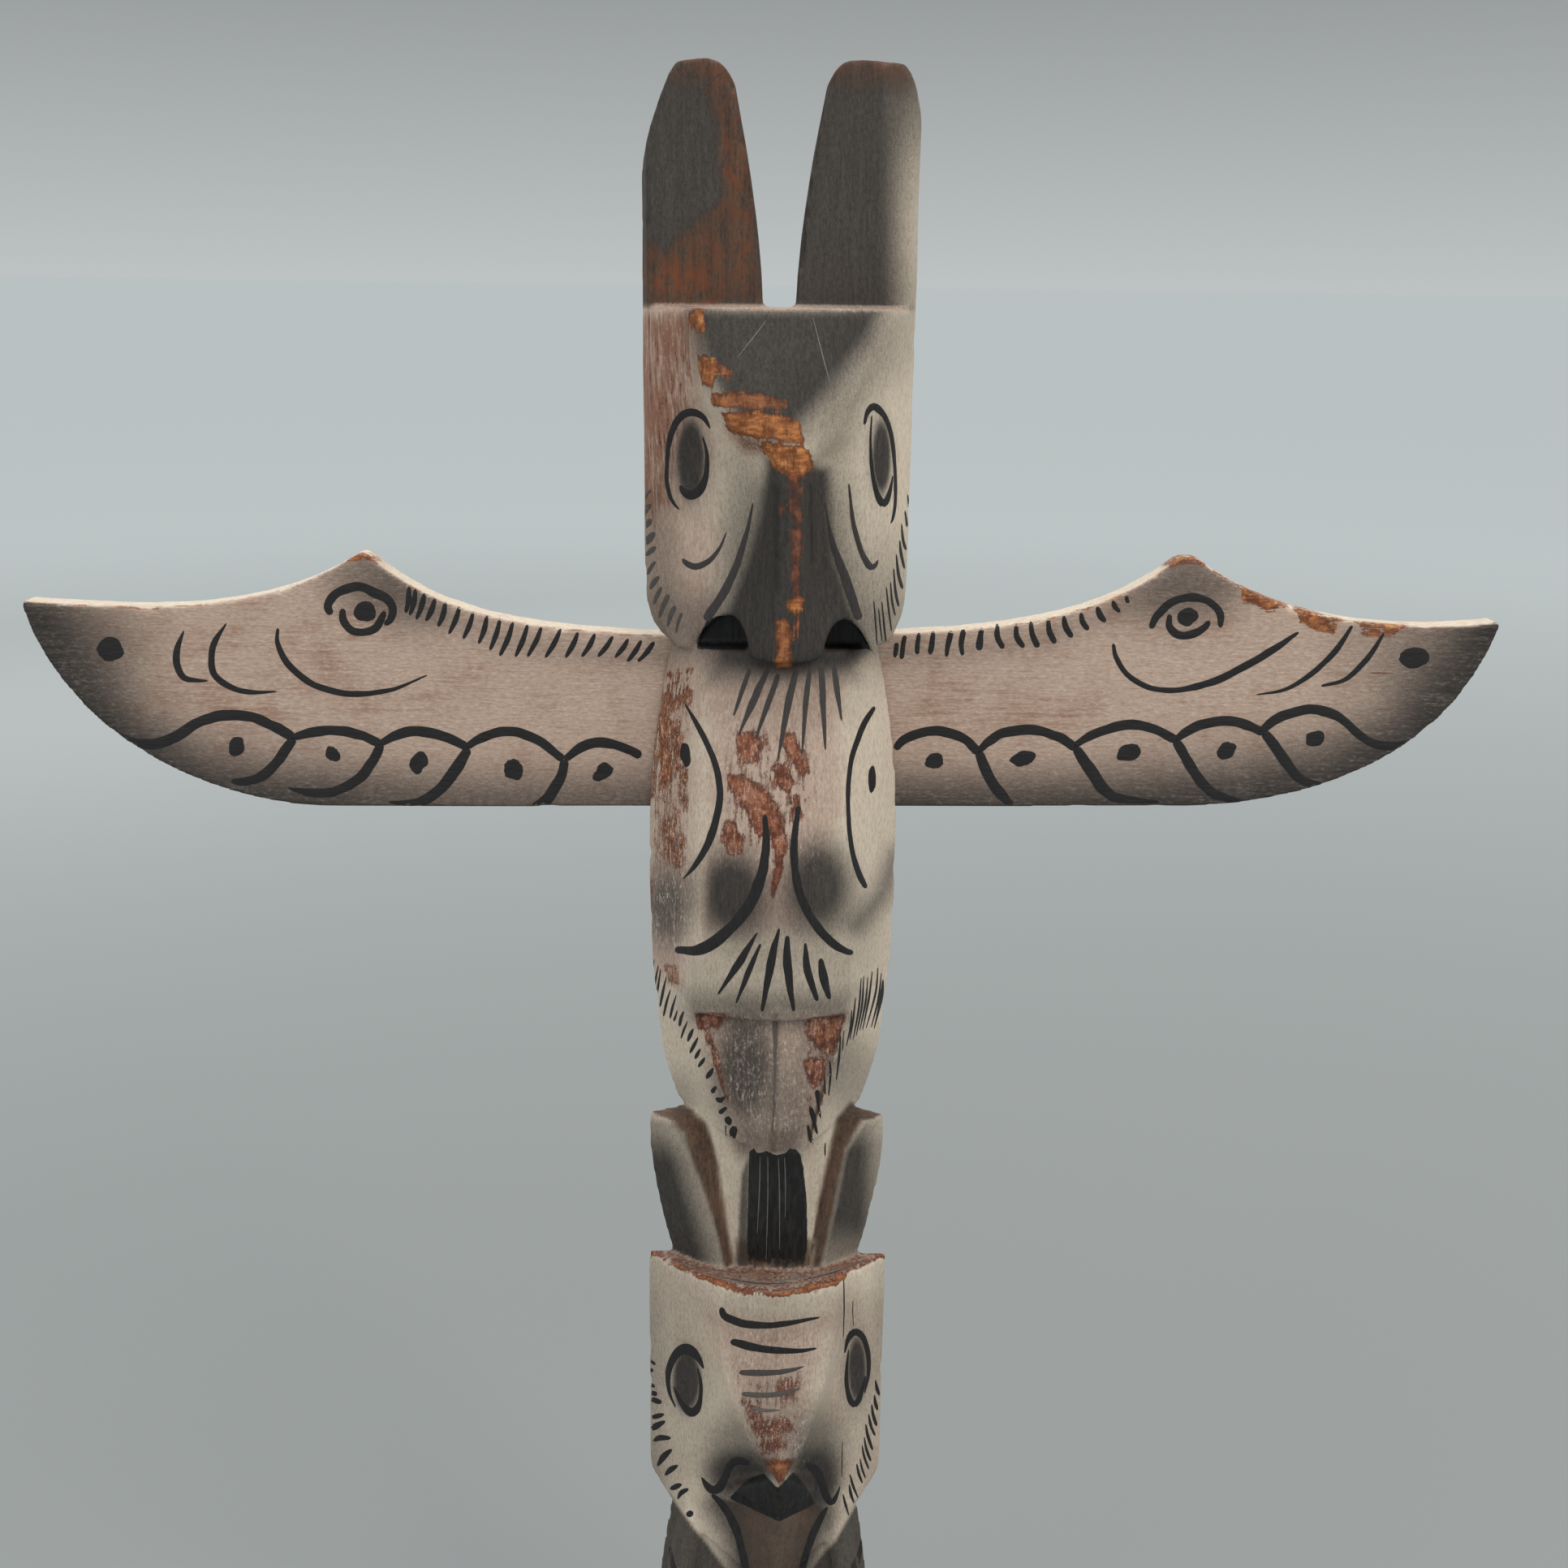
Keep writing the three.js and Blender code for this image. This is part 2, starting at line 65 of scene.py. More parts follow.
camera_data = bpy.data.cameras.new("camera")
camera_data.sensor_width = 36
camera_data.lens = FOCAL_PX / FRAME_PX * 36
camera_data.shift_x = SIDE_PX / FRAME_PX
camera_data.clip_start = 0.01
camera_data.clip_end = 100
camera = bpy.data.objects.new("camera", camera_data)
scene.collection.objects.link(camera)
camera.matrix_world = (
    Matrix.Translation(Vector(EYE) / 1000)
    @ Matrix.Rotation(math.pi / 2 - PITCH, 4, "X")
    @ Matrix.Rotation(ROLL, 4, "Z")
)
scene.camera = camera

CP, SP = math.cos(PITCH), math.sin(PITCH)
CR, SR = math.cos(ROLL), math.sin(ROLL)


def to_frame(p):
    """Pixel at which each point is seen."""
    q = p - EYE
    depth = q[:, 1] * CP - q[:, 2] * SP
    down = -q[:, 1] * SP - q[:, 2] * CP
    u, v = FOCAL_PX * q[:, 0] / depth, FOCAL_PX * down / depth
    return AXIS_PX + u * CR - v * SR, FRAME_PX / 2 + u * SR + v * CR


def sight(px, py):
    """Direction in which the camera sees a pixel."""
    u, v = px - AXIS_PX, py - FRAME_PX / 2
    u, v = (u * CR + v * SR) / FOCAL_PX, (-u * SR + v * CR) / FOCAL_PX
    return Vector((u, CP - v * SP, -SP - v * CP)).normalized()


# ---- numbers -------------------------------------------------------------------------
def smooth(a, b, x):
    t = np.clip((x - a) / (b - a), 0, 1)
    return t * t * (3 - 2 * t)


def lattice(i, j, k, seed):
    h = (
        i.astype(np.uint32) * np.uint32(0x8DA6B343)
        ^ j.astype(np.uint32) * np.uint32(0xD8163841)
        ^ k.astype(np.uint32) * np.uint32(0xCB1AB31F)
        ^ np.uint32((seed * 0x9E3779B9) & 0xFFFFFFFF)
    )
    h ^= h >> np.uint32(13)
    h *= np.uint32(0x5BD1E995)
    h ^= h >> np.uint32(15)
    h *= np.uint32(0x27D4EB2F)
    h ^= h >> np.uint32(16)
    return h.astype(np.float64) / 4294967295.0


def noise(p, size, seed=0, octaves=1):
    """Even noise from 0 to 1, with features of the given size along each axis."""
    total, weight = np.zeros(len(p)), 0.0
    for o in range(octaves):
        q = p / (np.asarray(size, float) / 2**o) + 1000.0 + 17.3 * o
        i = np.floor(q).astype(np.int64)
        f = q - i
        f = f * f * (3 - 2 * f)
        v = 0.0
        for a in (0, 1):
            for b in (0, 1):
                for c in (0, 1):
                    w = (
                        (f[:, 0] if a else 1 - f[:, 0])
                        * (f[:, 1] if b else 1 - f[:, 1])
                        * (f[:, 2] if c else 1 - f[:, 2])
                    )
                    v = v + w * lattice(i[:, 0] + a, i[:, 1] + b, i[:, 2] + c, seed + 31 * o)
        total += v * 0.5**o
        weight += 0.5**o
    return total / weight


# ---- fine meshes ---------------------------------------------------------------------
class Relief:
    """A fine, even copy of a CAD node that can be worn, chipped and painted point by point."""

    def __init__(self, node, grid):
        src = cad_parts[node].data.copy()
        src.transform(Matrix.Scale(1000, 4))
        bm = bmesh.new()
        bm.from_mesh(src)
        bmesh.ops.remove_doubles(bm, verts=bm.verts, dist=1e-3)
        exact = BVHTree.FromBMesh(bm)
        bm.to_mesh(src)
        bm.free()
        held = bpy.data.objects.new("held", src)
        scene.collection.objects.link(held)
        mod = held.modifiers.new("grid", "REMESH")
        mod.mode = "VOXEL"
        mod.voxel_size = grid
        graph = bpy.context.evaluated_depsgraph_get()
        self.mesh = bpy.data.meshes.new_from_object(held.evaluated_get(graph))
        bpy.data.objects.remove(held)
        n = len(self.mesh.vertices)
        self.co = np.empty(n * 3)
        self.mesh.vertices.foreach_get("co", self.co)
        self.co = self.co.reshape(-1, 3)
        self.edges = np.empty(len(self.mesh.edges) * 2, np.int64)
        self.mesh.edges.foreach_get("vertices", self.edges)
        self.edges = self.edges.reshape(-1, 2)
        self.degree = np.bincount(self.edges.ravel(), minlength=n).astype(float)
        self.co = np.array([exact.find_nearest(Vector(p))[0] for p in self.co])

    def mean(self, values):
        a, b = self.edges[:, 0], self.edges[:, 1]
        n = len(values)
        if values.ndim == 1:
            return (np.bincount(a, values[b], n) + np.bincount(b, values[a], n)) / self.degree
        return np.stack([self.mean(values[:, k]) for k in range(values.shape[1])], 1)

    def relaxed(self, values, times, amount=0.5):
        for _ in range(times):
            values = values + (self.mean(values) - values) * amount
        return values

    def normals(self):
        self.mesh.vertices.foreach_set("co", self.co.ravel())
        self.mesh.update()
        n = np.empty(len(self.co) * 3)
        self.mesh.vertex_normals.foreach_get("vector", n)
        return n.reshape(-1, 3)

    def convexity(self):
        """How far each point stands out over its neighbourhood: high on edges, negative in corners."""
        return np.einsum("ij,ij->i", self.normals(), self.co - self.relaxed(self.co, 10))

    def tree(self):
        self.normals()
        return BVHTree.FromPolygons(
            self.co.tolist(), [tuple(p.vertices) for p in self.mesh.polygons]
        )

    def seen(self, tree):
        """1 where the camera sees a point, or would if the frame were taller."""
        n = self.normals()
        way = EYE - self.co
        far = np.linalg.norm(way, axis=1)
        facing = np.einsum("ij,ij->i", n, way / far[:, None])
        out = np.zeros(len(self.co))
        eye = Vector(EYE)
        for i in np.nonzero(facing > 0.02)[0]:
            d = Vector(-way[i] / far[i])
            if tree.ray_cast(eye, d, far[i] - min(4.0, 0.6 + 0.25 / facing[i]))[0] is None:
                out[i] = 1.0
        return out

    def spread(self, fields, known):
        """Carries the values of the known points on over the rest, ring by ring."""
        a, b = self.edges[:, 0], self.edges[:, 1]
        n = len(known)
        known = known.copy()
        fields = [np.where(known, f, 0.0) for f in fields]
        first = ~known
        while not known.all():
            w = known.astype(float)
            count = np.bincount(a, w[b], n) + np.bincount(b, w[a], n)
            new = ~known & (count > 0)
            if not new.any():
                break
            for f in fields:
                f[new] = ((np.bincount(a, f[b] * w[b], n) + np.bincount(b, f[a] * w[a], n))[new]) / count[new]
            known |= new
        return [np.where(first, self.relaxed(f, 6), f) for f in fields]

    def paint(self, name, values):
        a = self.mesh.attributes.new(name, "FLOAT", "POINT")
        a.data.foreach_set("value", np.clip(values, 0, 1).astype(np.float32))

    def flatten(self, flat):
        """Merges the small faces inside flat hidden areas into large ones."""
        bm = bmesh.new()
        bm.from_mesh(self.mesh)
        bm.verts.ensure_lookup_table()
        edges = [
            e
            for e in bm.edges
            if flat[e.verts[0].index] and flat[e.verts[1].index]
            and len(e.link_faces) == 2
            and all(flat[v.index] for f in e.link_faces for v in f.verts)
        ]
        verts = list({v for e in edges for v in e.verts})
        bmesh.ops.dissolve_limit(
            bm, angle_limit=math.radians(1), use_dissolve_boundaries=False, verts=verts, edges=edges
        )
        big = [f for f in bm.faces if len(f.verts) > 4]
        bmesh.ops.triangulate(bm, faces=big)
        bm.to_mesh(self.mesh)
        bm.free()

    def finish(self, name, material):
        self.mesh.transform(Matrix.Scale(0.001, 4))
        self.mesh.polygons.foreach_set("use_smooth", [True] * len(self.mesh.polygons))
        self.mesh.update()
        self.mesh.name = name
        self.mesh.materials.clear()
        self.mesh.materials.append(material)
        made = bpy.data.objects.new(name, self.mesh)
        scene.collection.objects.link(made)
        return made


# ---- painted areas, in frame pixels --------------------------------------------------
def outline_distance(px, py, pts):
    inside = np.zeros(len(px), bool)
    d = np.full(len(px), 1e12)
    for (x0, y0), (x1, y1) in zip(pts, pts[1:] + pts[:1]):
        ex, ey = x1 - x0, y1 - y0
        t = np.clip(((px - x0) * ex + (py - y0) * ey) / (ex * ex + ey * ey), 0, 1)
        d = np.minimum(d, (px - x0 - t * ex) ** 2 + (py - y0 - t * ey) ** 2)
        inside ^= ((y0 > py) != (y1 > py)) & (px < ex * (py - y0) / (ey if ey else 1e-9) + x0)
    d = np.sqrt(d)
    return np.where(inside, -d, d)


def line_distance(px, py, pts):
    d = np.full(len(px), 1e12)
    for (x0, y0), (x1, y1) in zip(pts, pts[1:]):
        ex, ey = x1 - x0, y1 - y0
        t = np.clip(((px - x0) * ex + (py - y0) * ey) / (ex * ex + ey * ey), 0, 1)
        d = np.minimum(d, (px - x0 - t * ex) ** 2 + (py - y0 - t * ey) ** 2)
    return np.sqrt(d)


class Area:
    """A value from 0 to 1 over the points of a mesh, built up from soft shapes."""

    def __init__(self, px, py, start=0.0):
        self.px, self.py = px, py
        self.v = np.full(len(px), float(start))

    def add(self, mask, amount=1.0):
        self.v = 1 - (1 - self.v) * (1 - amount * mask)
        return self

    def cut(self, mask, amount=1.0):
        self.v = self.v * (1 - amount * mask)
        return self

    def oval(self, x, y, rx, ry, amount, soft=1.0, turn=0.0):
        c, s = math.cos(math.radians(turn)), math.sin(math.radians(turn))
        u = (self.px - x) * c + (self.py - y) * s
        v = -(self.px - x) * s + (self.py - y) * c
        r = np.sqrt((u / rx) ** 2 + (v / ry) ** 2)
        return self.add(1 - smooth(1 - soft / 2, 1 + soft / 2, r), amount)

    def shape(self, pts, amount, soft=10.0):
        return self.add(1 - smooth(-soft, soft, outline_distance(self.px, self.py, pts)), amount)

    def line(self, pts, half, amount, soft=4.0):
        d = line_distance(self.px, self.py, pts)
        return self.add(1 - smooth(half - soft / 2, half + soft / 2, d), amount)


# ---- materials -----------------------------------------------------------------------
def colour(r, g, b):
    """A colour as seen on a screen, 0 to 255, as the linear values a shader takes."""
    f = lambda c: c / 12.92 if c <= 0.04045 else ((c + 0.055) / 1.055) ** 2.4
    return (f(r / 255), f(g / 255), f(b / 255), 1.0)


class Net:
    def __init__(self, name):
        self.material = bpy.data.materials.new(name)
        self.material.use_nodes = True
        self.tree = self.material.node_tree
        self.shader = self.tree.nodes["Principled BSDF"]

    def put(self, socket, value):
        if isinstance(value, bpy.types.NodeSocket):
            self.tree.links.new(value, socket)
        else:
            socket.default_value = value

    def new(self, kind):
        return self.tree.nodes.new("ShaderNode" + kind)

    def attribute(self, name):
        n = self.new("Attribute")
        n.attribute_name = name
        return n.outputs["Fac"]

    def place(self):
        n = self.new("TexCoord")
        return self.vector("MULTIPLY", n.outputs["Object"], (1000, 1000, 1000))

    def vector(self, kind, a, b):
        n = self.new("VectorMath")
        n.operation = kind
        self.put(n.inputs[0], a)
        self.put(n.inputs[1], b)
        return n.outputs[0]

    def math(self, kind, a, b=0.0, c=0.0, clamp=False):
        n = self.new("Math")
        n.operation = kind
        n.use_clamp = clamp
        for s, v in zip(n.inputs, (a, b, c)):
            self.put(s, v)
        return n.outputs[0]

    def noise(self, at, scale, detail=3.0, rough=0.55, bend=0.0):
        n = self.new("TexNoise")
        self.put(n.inputs["Vector"], at)
        self.put(n.inputs["Scale"], scale)
        self.put(n.inputs["Detail"], detail)
        self.put(n.inputs["Roughness"], rough)
        self.put(n.inputs["Distortion"], bend)
        return n.outputs["Fac"]

    def step(self, value, low, high, to_low=0.0, to_high=1.0):
        n = self.new("MapRange")
        n.interpolation_type = "SMOOTHSTEP"
        self.put(n.inputs["Value"], value)
        for k, v in zip(("From Min", "From Max", "To Min", "To Max"), (low, high, to_low, to_high)):
            self.put(n.inputs[k], v)
        return n.outputs["Result"]

    def mix(self, share, a, b):
        n = self.new("Mix")
        n.data_type = "RGBA"
        self.put(n.inputs["Factor"], share)
        self.put(n.inputs[6], a)
        self.put(n.inputs[7], b)
        return n.outputs[2]

    def blend(self, share, a, b):
        n = self.new("Mix")
        n.data_type = "FLOAT"
        self.put(n.inputs["Factor"], share)
        self.put(n.inputs[2], a)
        self.put(n.inputs[3], b)
        return n.outputs[0]

    def bump(self, height, strength, distance):
        n = self.new("Bump")
        self.put(n.inputs["Height"], height)
        self.put(n.inputs["Strength"], strength)
        self.put(n.inputs["Distance"], distance)
        return n.outputs["Normal"]


CREAM = colour(217, 201, 181)
TAUPE = colour(195, 169, 152)
ROSE = colour(148, 104, 83)
CHALK = colour(226, 216, 203)
CHARCOAL = colour(49, 46, 44)
BLACK = colour(20, 20, 21)
FIELDS = ("soot_and_shade", "wear", "bare", "tint", "black", "glow", "chalk")


def painted_wood(name, along, rings, ink=False):
    """Thin paint over cedar. `along` squeezes the pattern so that the grain runs the right way."""
    m = Net(name)
    at = m.place()
    grain = m.vector("MULTIPLY", at, along)
    fibre = m.noise(grain, 1.5, 4, 0.62)
    hair = m.noise(grain, 5.0, 2, 0.6)
    patch = m.noise(at, 0.09, 3, 0.6)
    blot = m.noise(at, 0.45, 3, 0.65)
    grit = m.noise(m.vector("MULTIPLY", at, rings[1]), 2.3, 3, 0.7)
    speck = m.noise(at, 4.6, 2, 0.6)
    soot_and_shade, wear, bare, tint, black, glow, chalk = (m.attribute(n) for n in FIELDS)
    off = lambda v: m.math("SUBTRACT", v, 0.5)

    # yearly rings round an upright axis behind the front
    n = m.new("VectorMath")
    n.operation = "LENGTH"
    m.put(n.inputs[0], m.vector("MULTIPLY", m.vector("SUBTRACT", at, (3.0, 34.0, 0.0)), rings[0]))
    year = m.math("SINE", m.math("MULTIPLY_ADD", n.outputs["Value"], 4.4, m.math("MULTIPLY", blot, 4.0)))
    # the same rings where a carved slope cuts across them, as arcs
    n = m.new("VectorMath")
    n.operation = "DOT_PRODUCT"
    m.put(n.inputs[0], at)
    m.put(n.inputs[1], rings[3])
    arcs = m.math("SINE", m.math("MULTIPLY_ADD", n.outputs["Value"], 3.4, m.math("MULTIPLY", blot, 11.0)))

    # paint: cream, taupe where it is thin, rose where the cedar shows through
    tone = m.math("MULTIPLY_ADD", off(patch), 0.7, tint)
    tone = m.math("MULTIPLY_ADD", off(fibre), m.math("MULTIPLY_ADD", tint, rings[4], 0.25), tone, clamp=True)
    paint = m.mix(m.step(tone, 0.0, 0.6), CREAM, TAUPE)
    paint = m.mix(m.step(tone, 0.6, 1.0), paint, ROSE)
    paint = m.mix(m.step(grit, 0.54, 0.34, 0.0, 0.27), paint, colour(120, 98, 82))
    paint = m.mix(m.step(grit, 0.53, 0.72, 0.0, 0.34), paint, CHALK)
    paint = m.mix(m.step(hair, 0.52, 0.3, 0.0, 0.22), paint, colour(126, 100, 82))
    # sprayed charcoal, and painted shade in hollows, under overhangs and on undersides
    loose = m.math("MULTIPLY", soot_and_shade, m.math("SUBTRACT", 1.0, soot_and_shade))
    cover = m.math("MULTIPLY_ADD", loose, m.math("MULTIPLY", off(speck), 2.6), soot_and_shade)
    cover = m.math("MULTIPLY_ADD", off(grit), m.math("MULTIPLY", soot_and_shade, -0.14), cover, clamp=True)
    dark = m.mix(m.step(fibre, 0.34, 0.7), CHARCOAL, colour(62, 57, 54))
    base = m.mix(cover, paint, dark)
    # worn through to cedar
    ragged = m.math("MULTIPLY_ADD", fibre, 0.42, m.math("MULTIPLY_ADD", blot, 0.34, m.math("MULTIPLY", grit, 0.24)))
    worn = m.math("MULTIPLY_ADD", off(ragged), 2.3, wear)
    gone = m.math("MULTIPLY", m.step(worn, 0.41, 0.57), m.step(wear, 0.02, 0.14))
    # the rim of a worn patch is stained dark, its middle is bright
    heart = m.math("MULTIPLY_ADD", off(hair), 0.7, m.math("MULTIPLY_ADD", off(blot), 1.3, m.math("MULTIPLY_ADD", arcs, rings[2], worn)))
    heart = m.step(heart, 0.46, 1.2)
    rust = m.mix(heart, colour(92, 50, 35), colour(158, 96, 66))
    fresh = m.mix(heart, colour(100, 54, 30), colour(204, 132, 74))
    # rubbed in bands across the grain
    band = m.noise(m.vector("MULTIPLY", at, (0.5, 1.0, 1.5)), 0.75, 3, 0.6)
    fresh = m.mix(m.step(band, 0.58, 0.36, 0.0, 0.8), fresh, colour(128, 68, 36))
    fresh = m.mix(m.step(band, 0.56, 0.72, 0.0, 0.6), fresh, colour(222, 164, 104))
    cedar = m.mix(glow, rust, fresh)
    cedar = m.mix(m.math("MULTIPLY", cover, m.math("MULTIPLY_ADD", glow, -0.36, 0.4)), cedar, CHARCOAL)
    # raw cut faces
    raw = m.mix(m.step(m.math("MULTIPLY_ADD", fibre, 0.5, m.math("MULTIPLY", grit, 0.5)), 0.34, 0.64), colour(68, 47, 35), colour(122, 92, 72))
    raw = m.mix(m.math("MULTIPLY", glow, m.step(blot, 0.36, 0.62)), raw, colour(138, 76, 42))
    raw = m.mix(m.math("MULTIPLY", m.step(patch, 0.44, 0.68, 0.0, 0.36), m.math("SUBTRACT", 1.0, glow, clamp=True)), raw, colour(146, 108, 80))
    raw = m.mix(m.step(year, 0.2, 0.9, 0.0, 0.22), raw, colour(58, 40, 31))
    raw = m.mix(m.math("MULTIPLY", cover, m.math("MULTIPLY_ADD", glow, -0.6, 0.85)), raw, CHARCOAL)
    share = m.math("MULTIPLY_ADD", off(ragged), m.math("MULTIPLY", m.math("MULTIPLY", bare, m.math("SUBTRACT", 1.0, bare)), 9.0), bare, clamp=True)
    base = m.mix(share, base, raw)
    solid = m.step(m.math("MULTIPLY_ADD", off(ragged), 0.9, black), 0.4, 0.6)
    base = m.mix(solid, base, m.mix(m.step(fibre, 0.35, 0.7), BLACK, colour(43, 41, 40)))
    if ink:
        brush = m.mix(m.step(hair, 0.3, 0.75), colour(26, 25, 26), colour(45, 42, 42))
        base = m.mix(m.math("MULTIPLY_ADD", off(grit), m.math("MULTIPLY", black, 1.2), black, clamp=True), brush, colour(128, 118, 112))
    base = m.mix(gone, base, cedar)
    # pale chalk flecks; on the wing's top faces they also serve as painted highlight
    flecks = m.math("MULTIPLY", m.step(m.math("MULTIPLY_ADD", speck, 0.3, m.math("MULTIPLY_ADD", fibre, 0.3, m.math("MULTIPLY", grit, 0.4))), 0.5, 0.6), chalk)
    flecks = m.math("MULTIPLY", flecks, m.step(blot, 0.4, 0.58, 0.25, 1.0))
    base = m.mix(flecks, base, colour(226, 212, 200))
    m.put(m.shader.inputs["Base Color"], base)

    rough = m.blend(gone, 0.58 if ink else m.blend(solid, 0.76, 0.52), 0.62)
    m.put(m.shader.inputs["Roughness"], m.math("MULTIPLY_ADD", off(hair), 0.25, rough, clamp=True))
    m.put(m.shader.inputs["Specular IOR Level"], 0.3)
    lift = m.math("MULTIPLY_ADD", fibre, 0.8, m.math("MULTIPLY_ADD", grit, 0.7, m.math("MULTIPLY", gone, -0.45)))
    m.put(m.shader.inputs["Normal"], m.bump(lift, 0.5, 0.00022))
    return m.material


UPRIGHT = (1.0, 1.0, 0.07)
ACROSS = (0.055, 1.0, 1.0)
POLE_RINGS = ((1.0, 1.0, 0.0), (1.0, 1.0, 0.4), 0.035, (0.0, 0.8, 1.0), 1.0)
WING_RINGS = ((0.02, 1.0, 1.0), (0.35, 1.0, 1.0), 0.02, (0.03, 0.3, 1.0), 0.6)
pole_paint = painted_wood("painted_cedar", UPRIGHT, POLE_RINGS)
wing_paint = painted_wood("painted_board", ACROSS, WING_RINGS)
pole_ink = painted_wood("brush_black_pole", UPRIGHT, POLE_RINGS, ink=True)
wing_ink = painted_wood("brush_black_wings", ACROSS, WING_RINGS, ink=True)

# ---- the pole ------------------------------------------------------------------------
pole = Relief("pole", POLE_GRID)
flat_back = (np.abs(pole.co[:, 1] - BACK_Y) < 0.02) & (pole.co[:, 2] > Z_BASE + 0.5)
flat_foot = pole.co[:, 2] < 0.02
held_y, held_z = pole.co[flat_back, 1].copy(), pole.co[flat_foot, 2].copy()
pole.co = pole.relaxed(pole.co, 2, 0.5)
pole.co[flat_back, 1] = BACK_Y
pole.co[flat_foot, 2] = 0.0

# the brow runs smoothly into the cheeks
brow_x, brow_y = to_frame(pole.co)
brow_soft = Area(brow_x, brow_y).oval(1028, 540, 46, 50, 1.0, 0.8).oval(900, 545, 44, 44, 1.0, 0.8).v * (pole.co[:, 1] < 2)
pole.co += (pole.relaxed(pole.co, 26) - pole.co) * brow_soft[:, None]

ridge = pole.convexity()
ridge_wide = pole.relaxed(np.clip(ridge, 0, None), 3)
nrm = pole.normals()
front = 1 - smooth(0.2, 0.7, nrm[:, 1])
above_base = smooth(Z_BASE, Z_BASE + 1.5, pole.co[:, 2])
move = 0.22 * (noise(pole.co, (6, 6, 15), 3, 2) - 0.5) + 0.12 * (noise(pole.co, (2.2, 2.2, 5), 5, 2) - 0.5)
# edges chipped and rubbed
chip = smooth(0.52, 0.78, noise(pole.co, (2.6, 2.6, 3.4), 11, 2)) * smooth(0.1, 0.3, ridge_wide)
ledge_edge = np.exp(-(((pole.co[:, 2] - Z_LEDGE + 0.6) / 1.6) ** 2))
horn_edge = smooth(Z_BROW + 3, Z_BROW + 12, pole.co[:, 2])
move -= chip * (0.35 + 0.7 * ledge_edge + 0.45 * horn_edge)
free = front * (~flat_foot)
pole.co += nrm * (move * free)[:, None]
pole.co[flat_back, 1] = BACK_Y
pole.co[:, 1] = np.clip(pole.co[:, 1], -22.9, 22.98)
pole.co[:, 2] = np.clip(pole.co[:, 2], 0, Z_TOP - 0.25)

nrm = pole.normals()
pole_tree = pole.tree()
seen = pole.seen(pole_tree)
px, py = to_frame(pole.co)
X, Y, Z = pole.co.T
D = BACK_Y - Y

up = smooth(0.55, 0.9, nrm[:, 2])
down = smooth(0.35, 0.8, -nrm[:, 2])
back = smooth(0.6, 0.95, nrm[:, 1])
horns = smooth(Z_BROW - 0.4, Z_BROW + 0.3, Z) * (1 - up * smooth(Z_BROW + 4, Z_BROW + 1, Z))
known = (seen > 0.5) & (Z > 58)
edge = smooth(0.12, 0.42, ridge_wide)

soot_and_shade = Area(px, py)
soot_and_shade.add(horns, 0.96)
soot_and_shade.cut(horns * smooth(1082, 1134, px), 0.8)
soot_and_shade.add(horns * smooth(1080, 1110, px) * (1 - smooth(90, 280, py)), 0.75)
drift = noise(pole.co, (4, 4, 10), 63, 2) - 0.5
rusty = Area(px + 56 * drift, py + 44 * drift).shape([(866, 92), (893, 78), (918, 130), (938, 250), (946, 378), (780, 380), (780, 302), (822, 292), (846, 276), (871, 256), (880, 215), (876, 169), (870, 112)], 1.0, 12).v * horns
soot_and_shade.shape([(848, 376), (1090, 376), (1071, 418), (1039, 458), (1012, 492), (990, 518), (980, 547), (950, 548), (908, 522), (880, 482), (860, 430)], 0.96, 18)
soot_and_shade.oval(1085, 400, 48, 66, 0.36, 1.6).oval(914, 650, 28, 96, 0.4, 1.5).oval(1034, 650, 24, 96, 0.22, 1.5)
soot_and_shade.oval(1012, 500, 46, 52, 0.5, 1.5).oval(1046, 440, 46, 54, 0.4, 1.5)
soot_and_shade.oval(866, 415, 22, 60, 0.3, 1.5)
soot_and_shade.shape([(944, 566), (1006, 573), (1022, 578), (1023, 640), (1030, 690), (1046, 740), (1064, 792), (1046, 822), (985, 828), (945, 828), (890, 818), (878, 792), (900, 742), (920, 690), (934, 640)], 0.97, 10)
soot_and_shade.shape([(928, 596), (1026, 598), (1088, 800), (848, 800)], 0.48, 30)
soot_and_shade.oval(838, 772, 56, 46, 0.55, 1.5)
soot_and_shade.oval(808, 700, 26, 120, 0.3, 1.6)
soot_and_shade.oval(1090, 785, 34, 50, 0.35, 1.5).oval(1088, 728, 36, 66, 0.36, 1.5)
soot_and_shade.oval(851, 566, 17, 49, 0.97, 0.5).oval(851, 566, 30, 64, 0.35, 0.9)
soot_and_shade.oval(1086, 563, 11, 45, 0.97, 0.5).oval(1085, 563, 18, 58, 0.35, 0.9)
# neck, breast and belly
# the band at the top of the neck is partly sprayed charcoal and partly painted shadow cast by the overhanging head
soot_and_shade.shape([(866, 800), (1062, 800), (1056, 838), (872, 842)], 0.7, 18)
soot_and_shade.oval(960, 850, 90, 50, 0.3, 1.4)
soot_and_shade.oval(901, 1101, 43, 56, 0.97, 1.15).oval(822, 1116, 28, 50, 0.8, 1.3)
soot_and_shade.oval(1008, 1092, 42, 58, 0.96, 1.15).line([(1104, 1056), (1086, 1104), (1056, 1140)], 12, 0.72, 36)
# lighter along the left facet's ridge: the spray stops at the ridge, and the lighter line is also a painted highlight
# on it
soot_and_shade.cut(1 - smooth(0, 13, line_distance(px, py, [(866, 1020), (864, 1100), (858, 1175)])), 0.42)
soot_and_shade.shape([(840, 1222), (1052, 1222), (1048, 1258), (848, 1258)], 0.62, 22)
soot_and_shade.shape([(853, 1168), (1048, 1172), (1046, 1260), (852, 1258)], 0.14, 2).oval(955, 1200, 90, 50, 0.16, 1.3).oval(955, 1135, 56, 50, 0.38, 1.5).oval(1046, 1150, 40, 60, 0.22, 1.5)
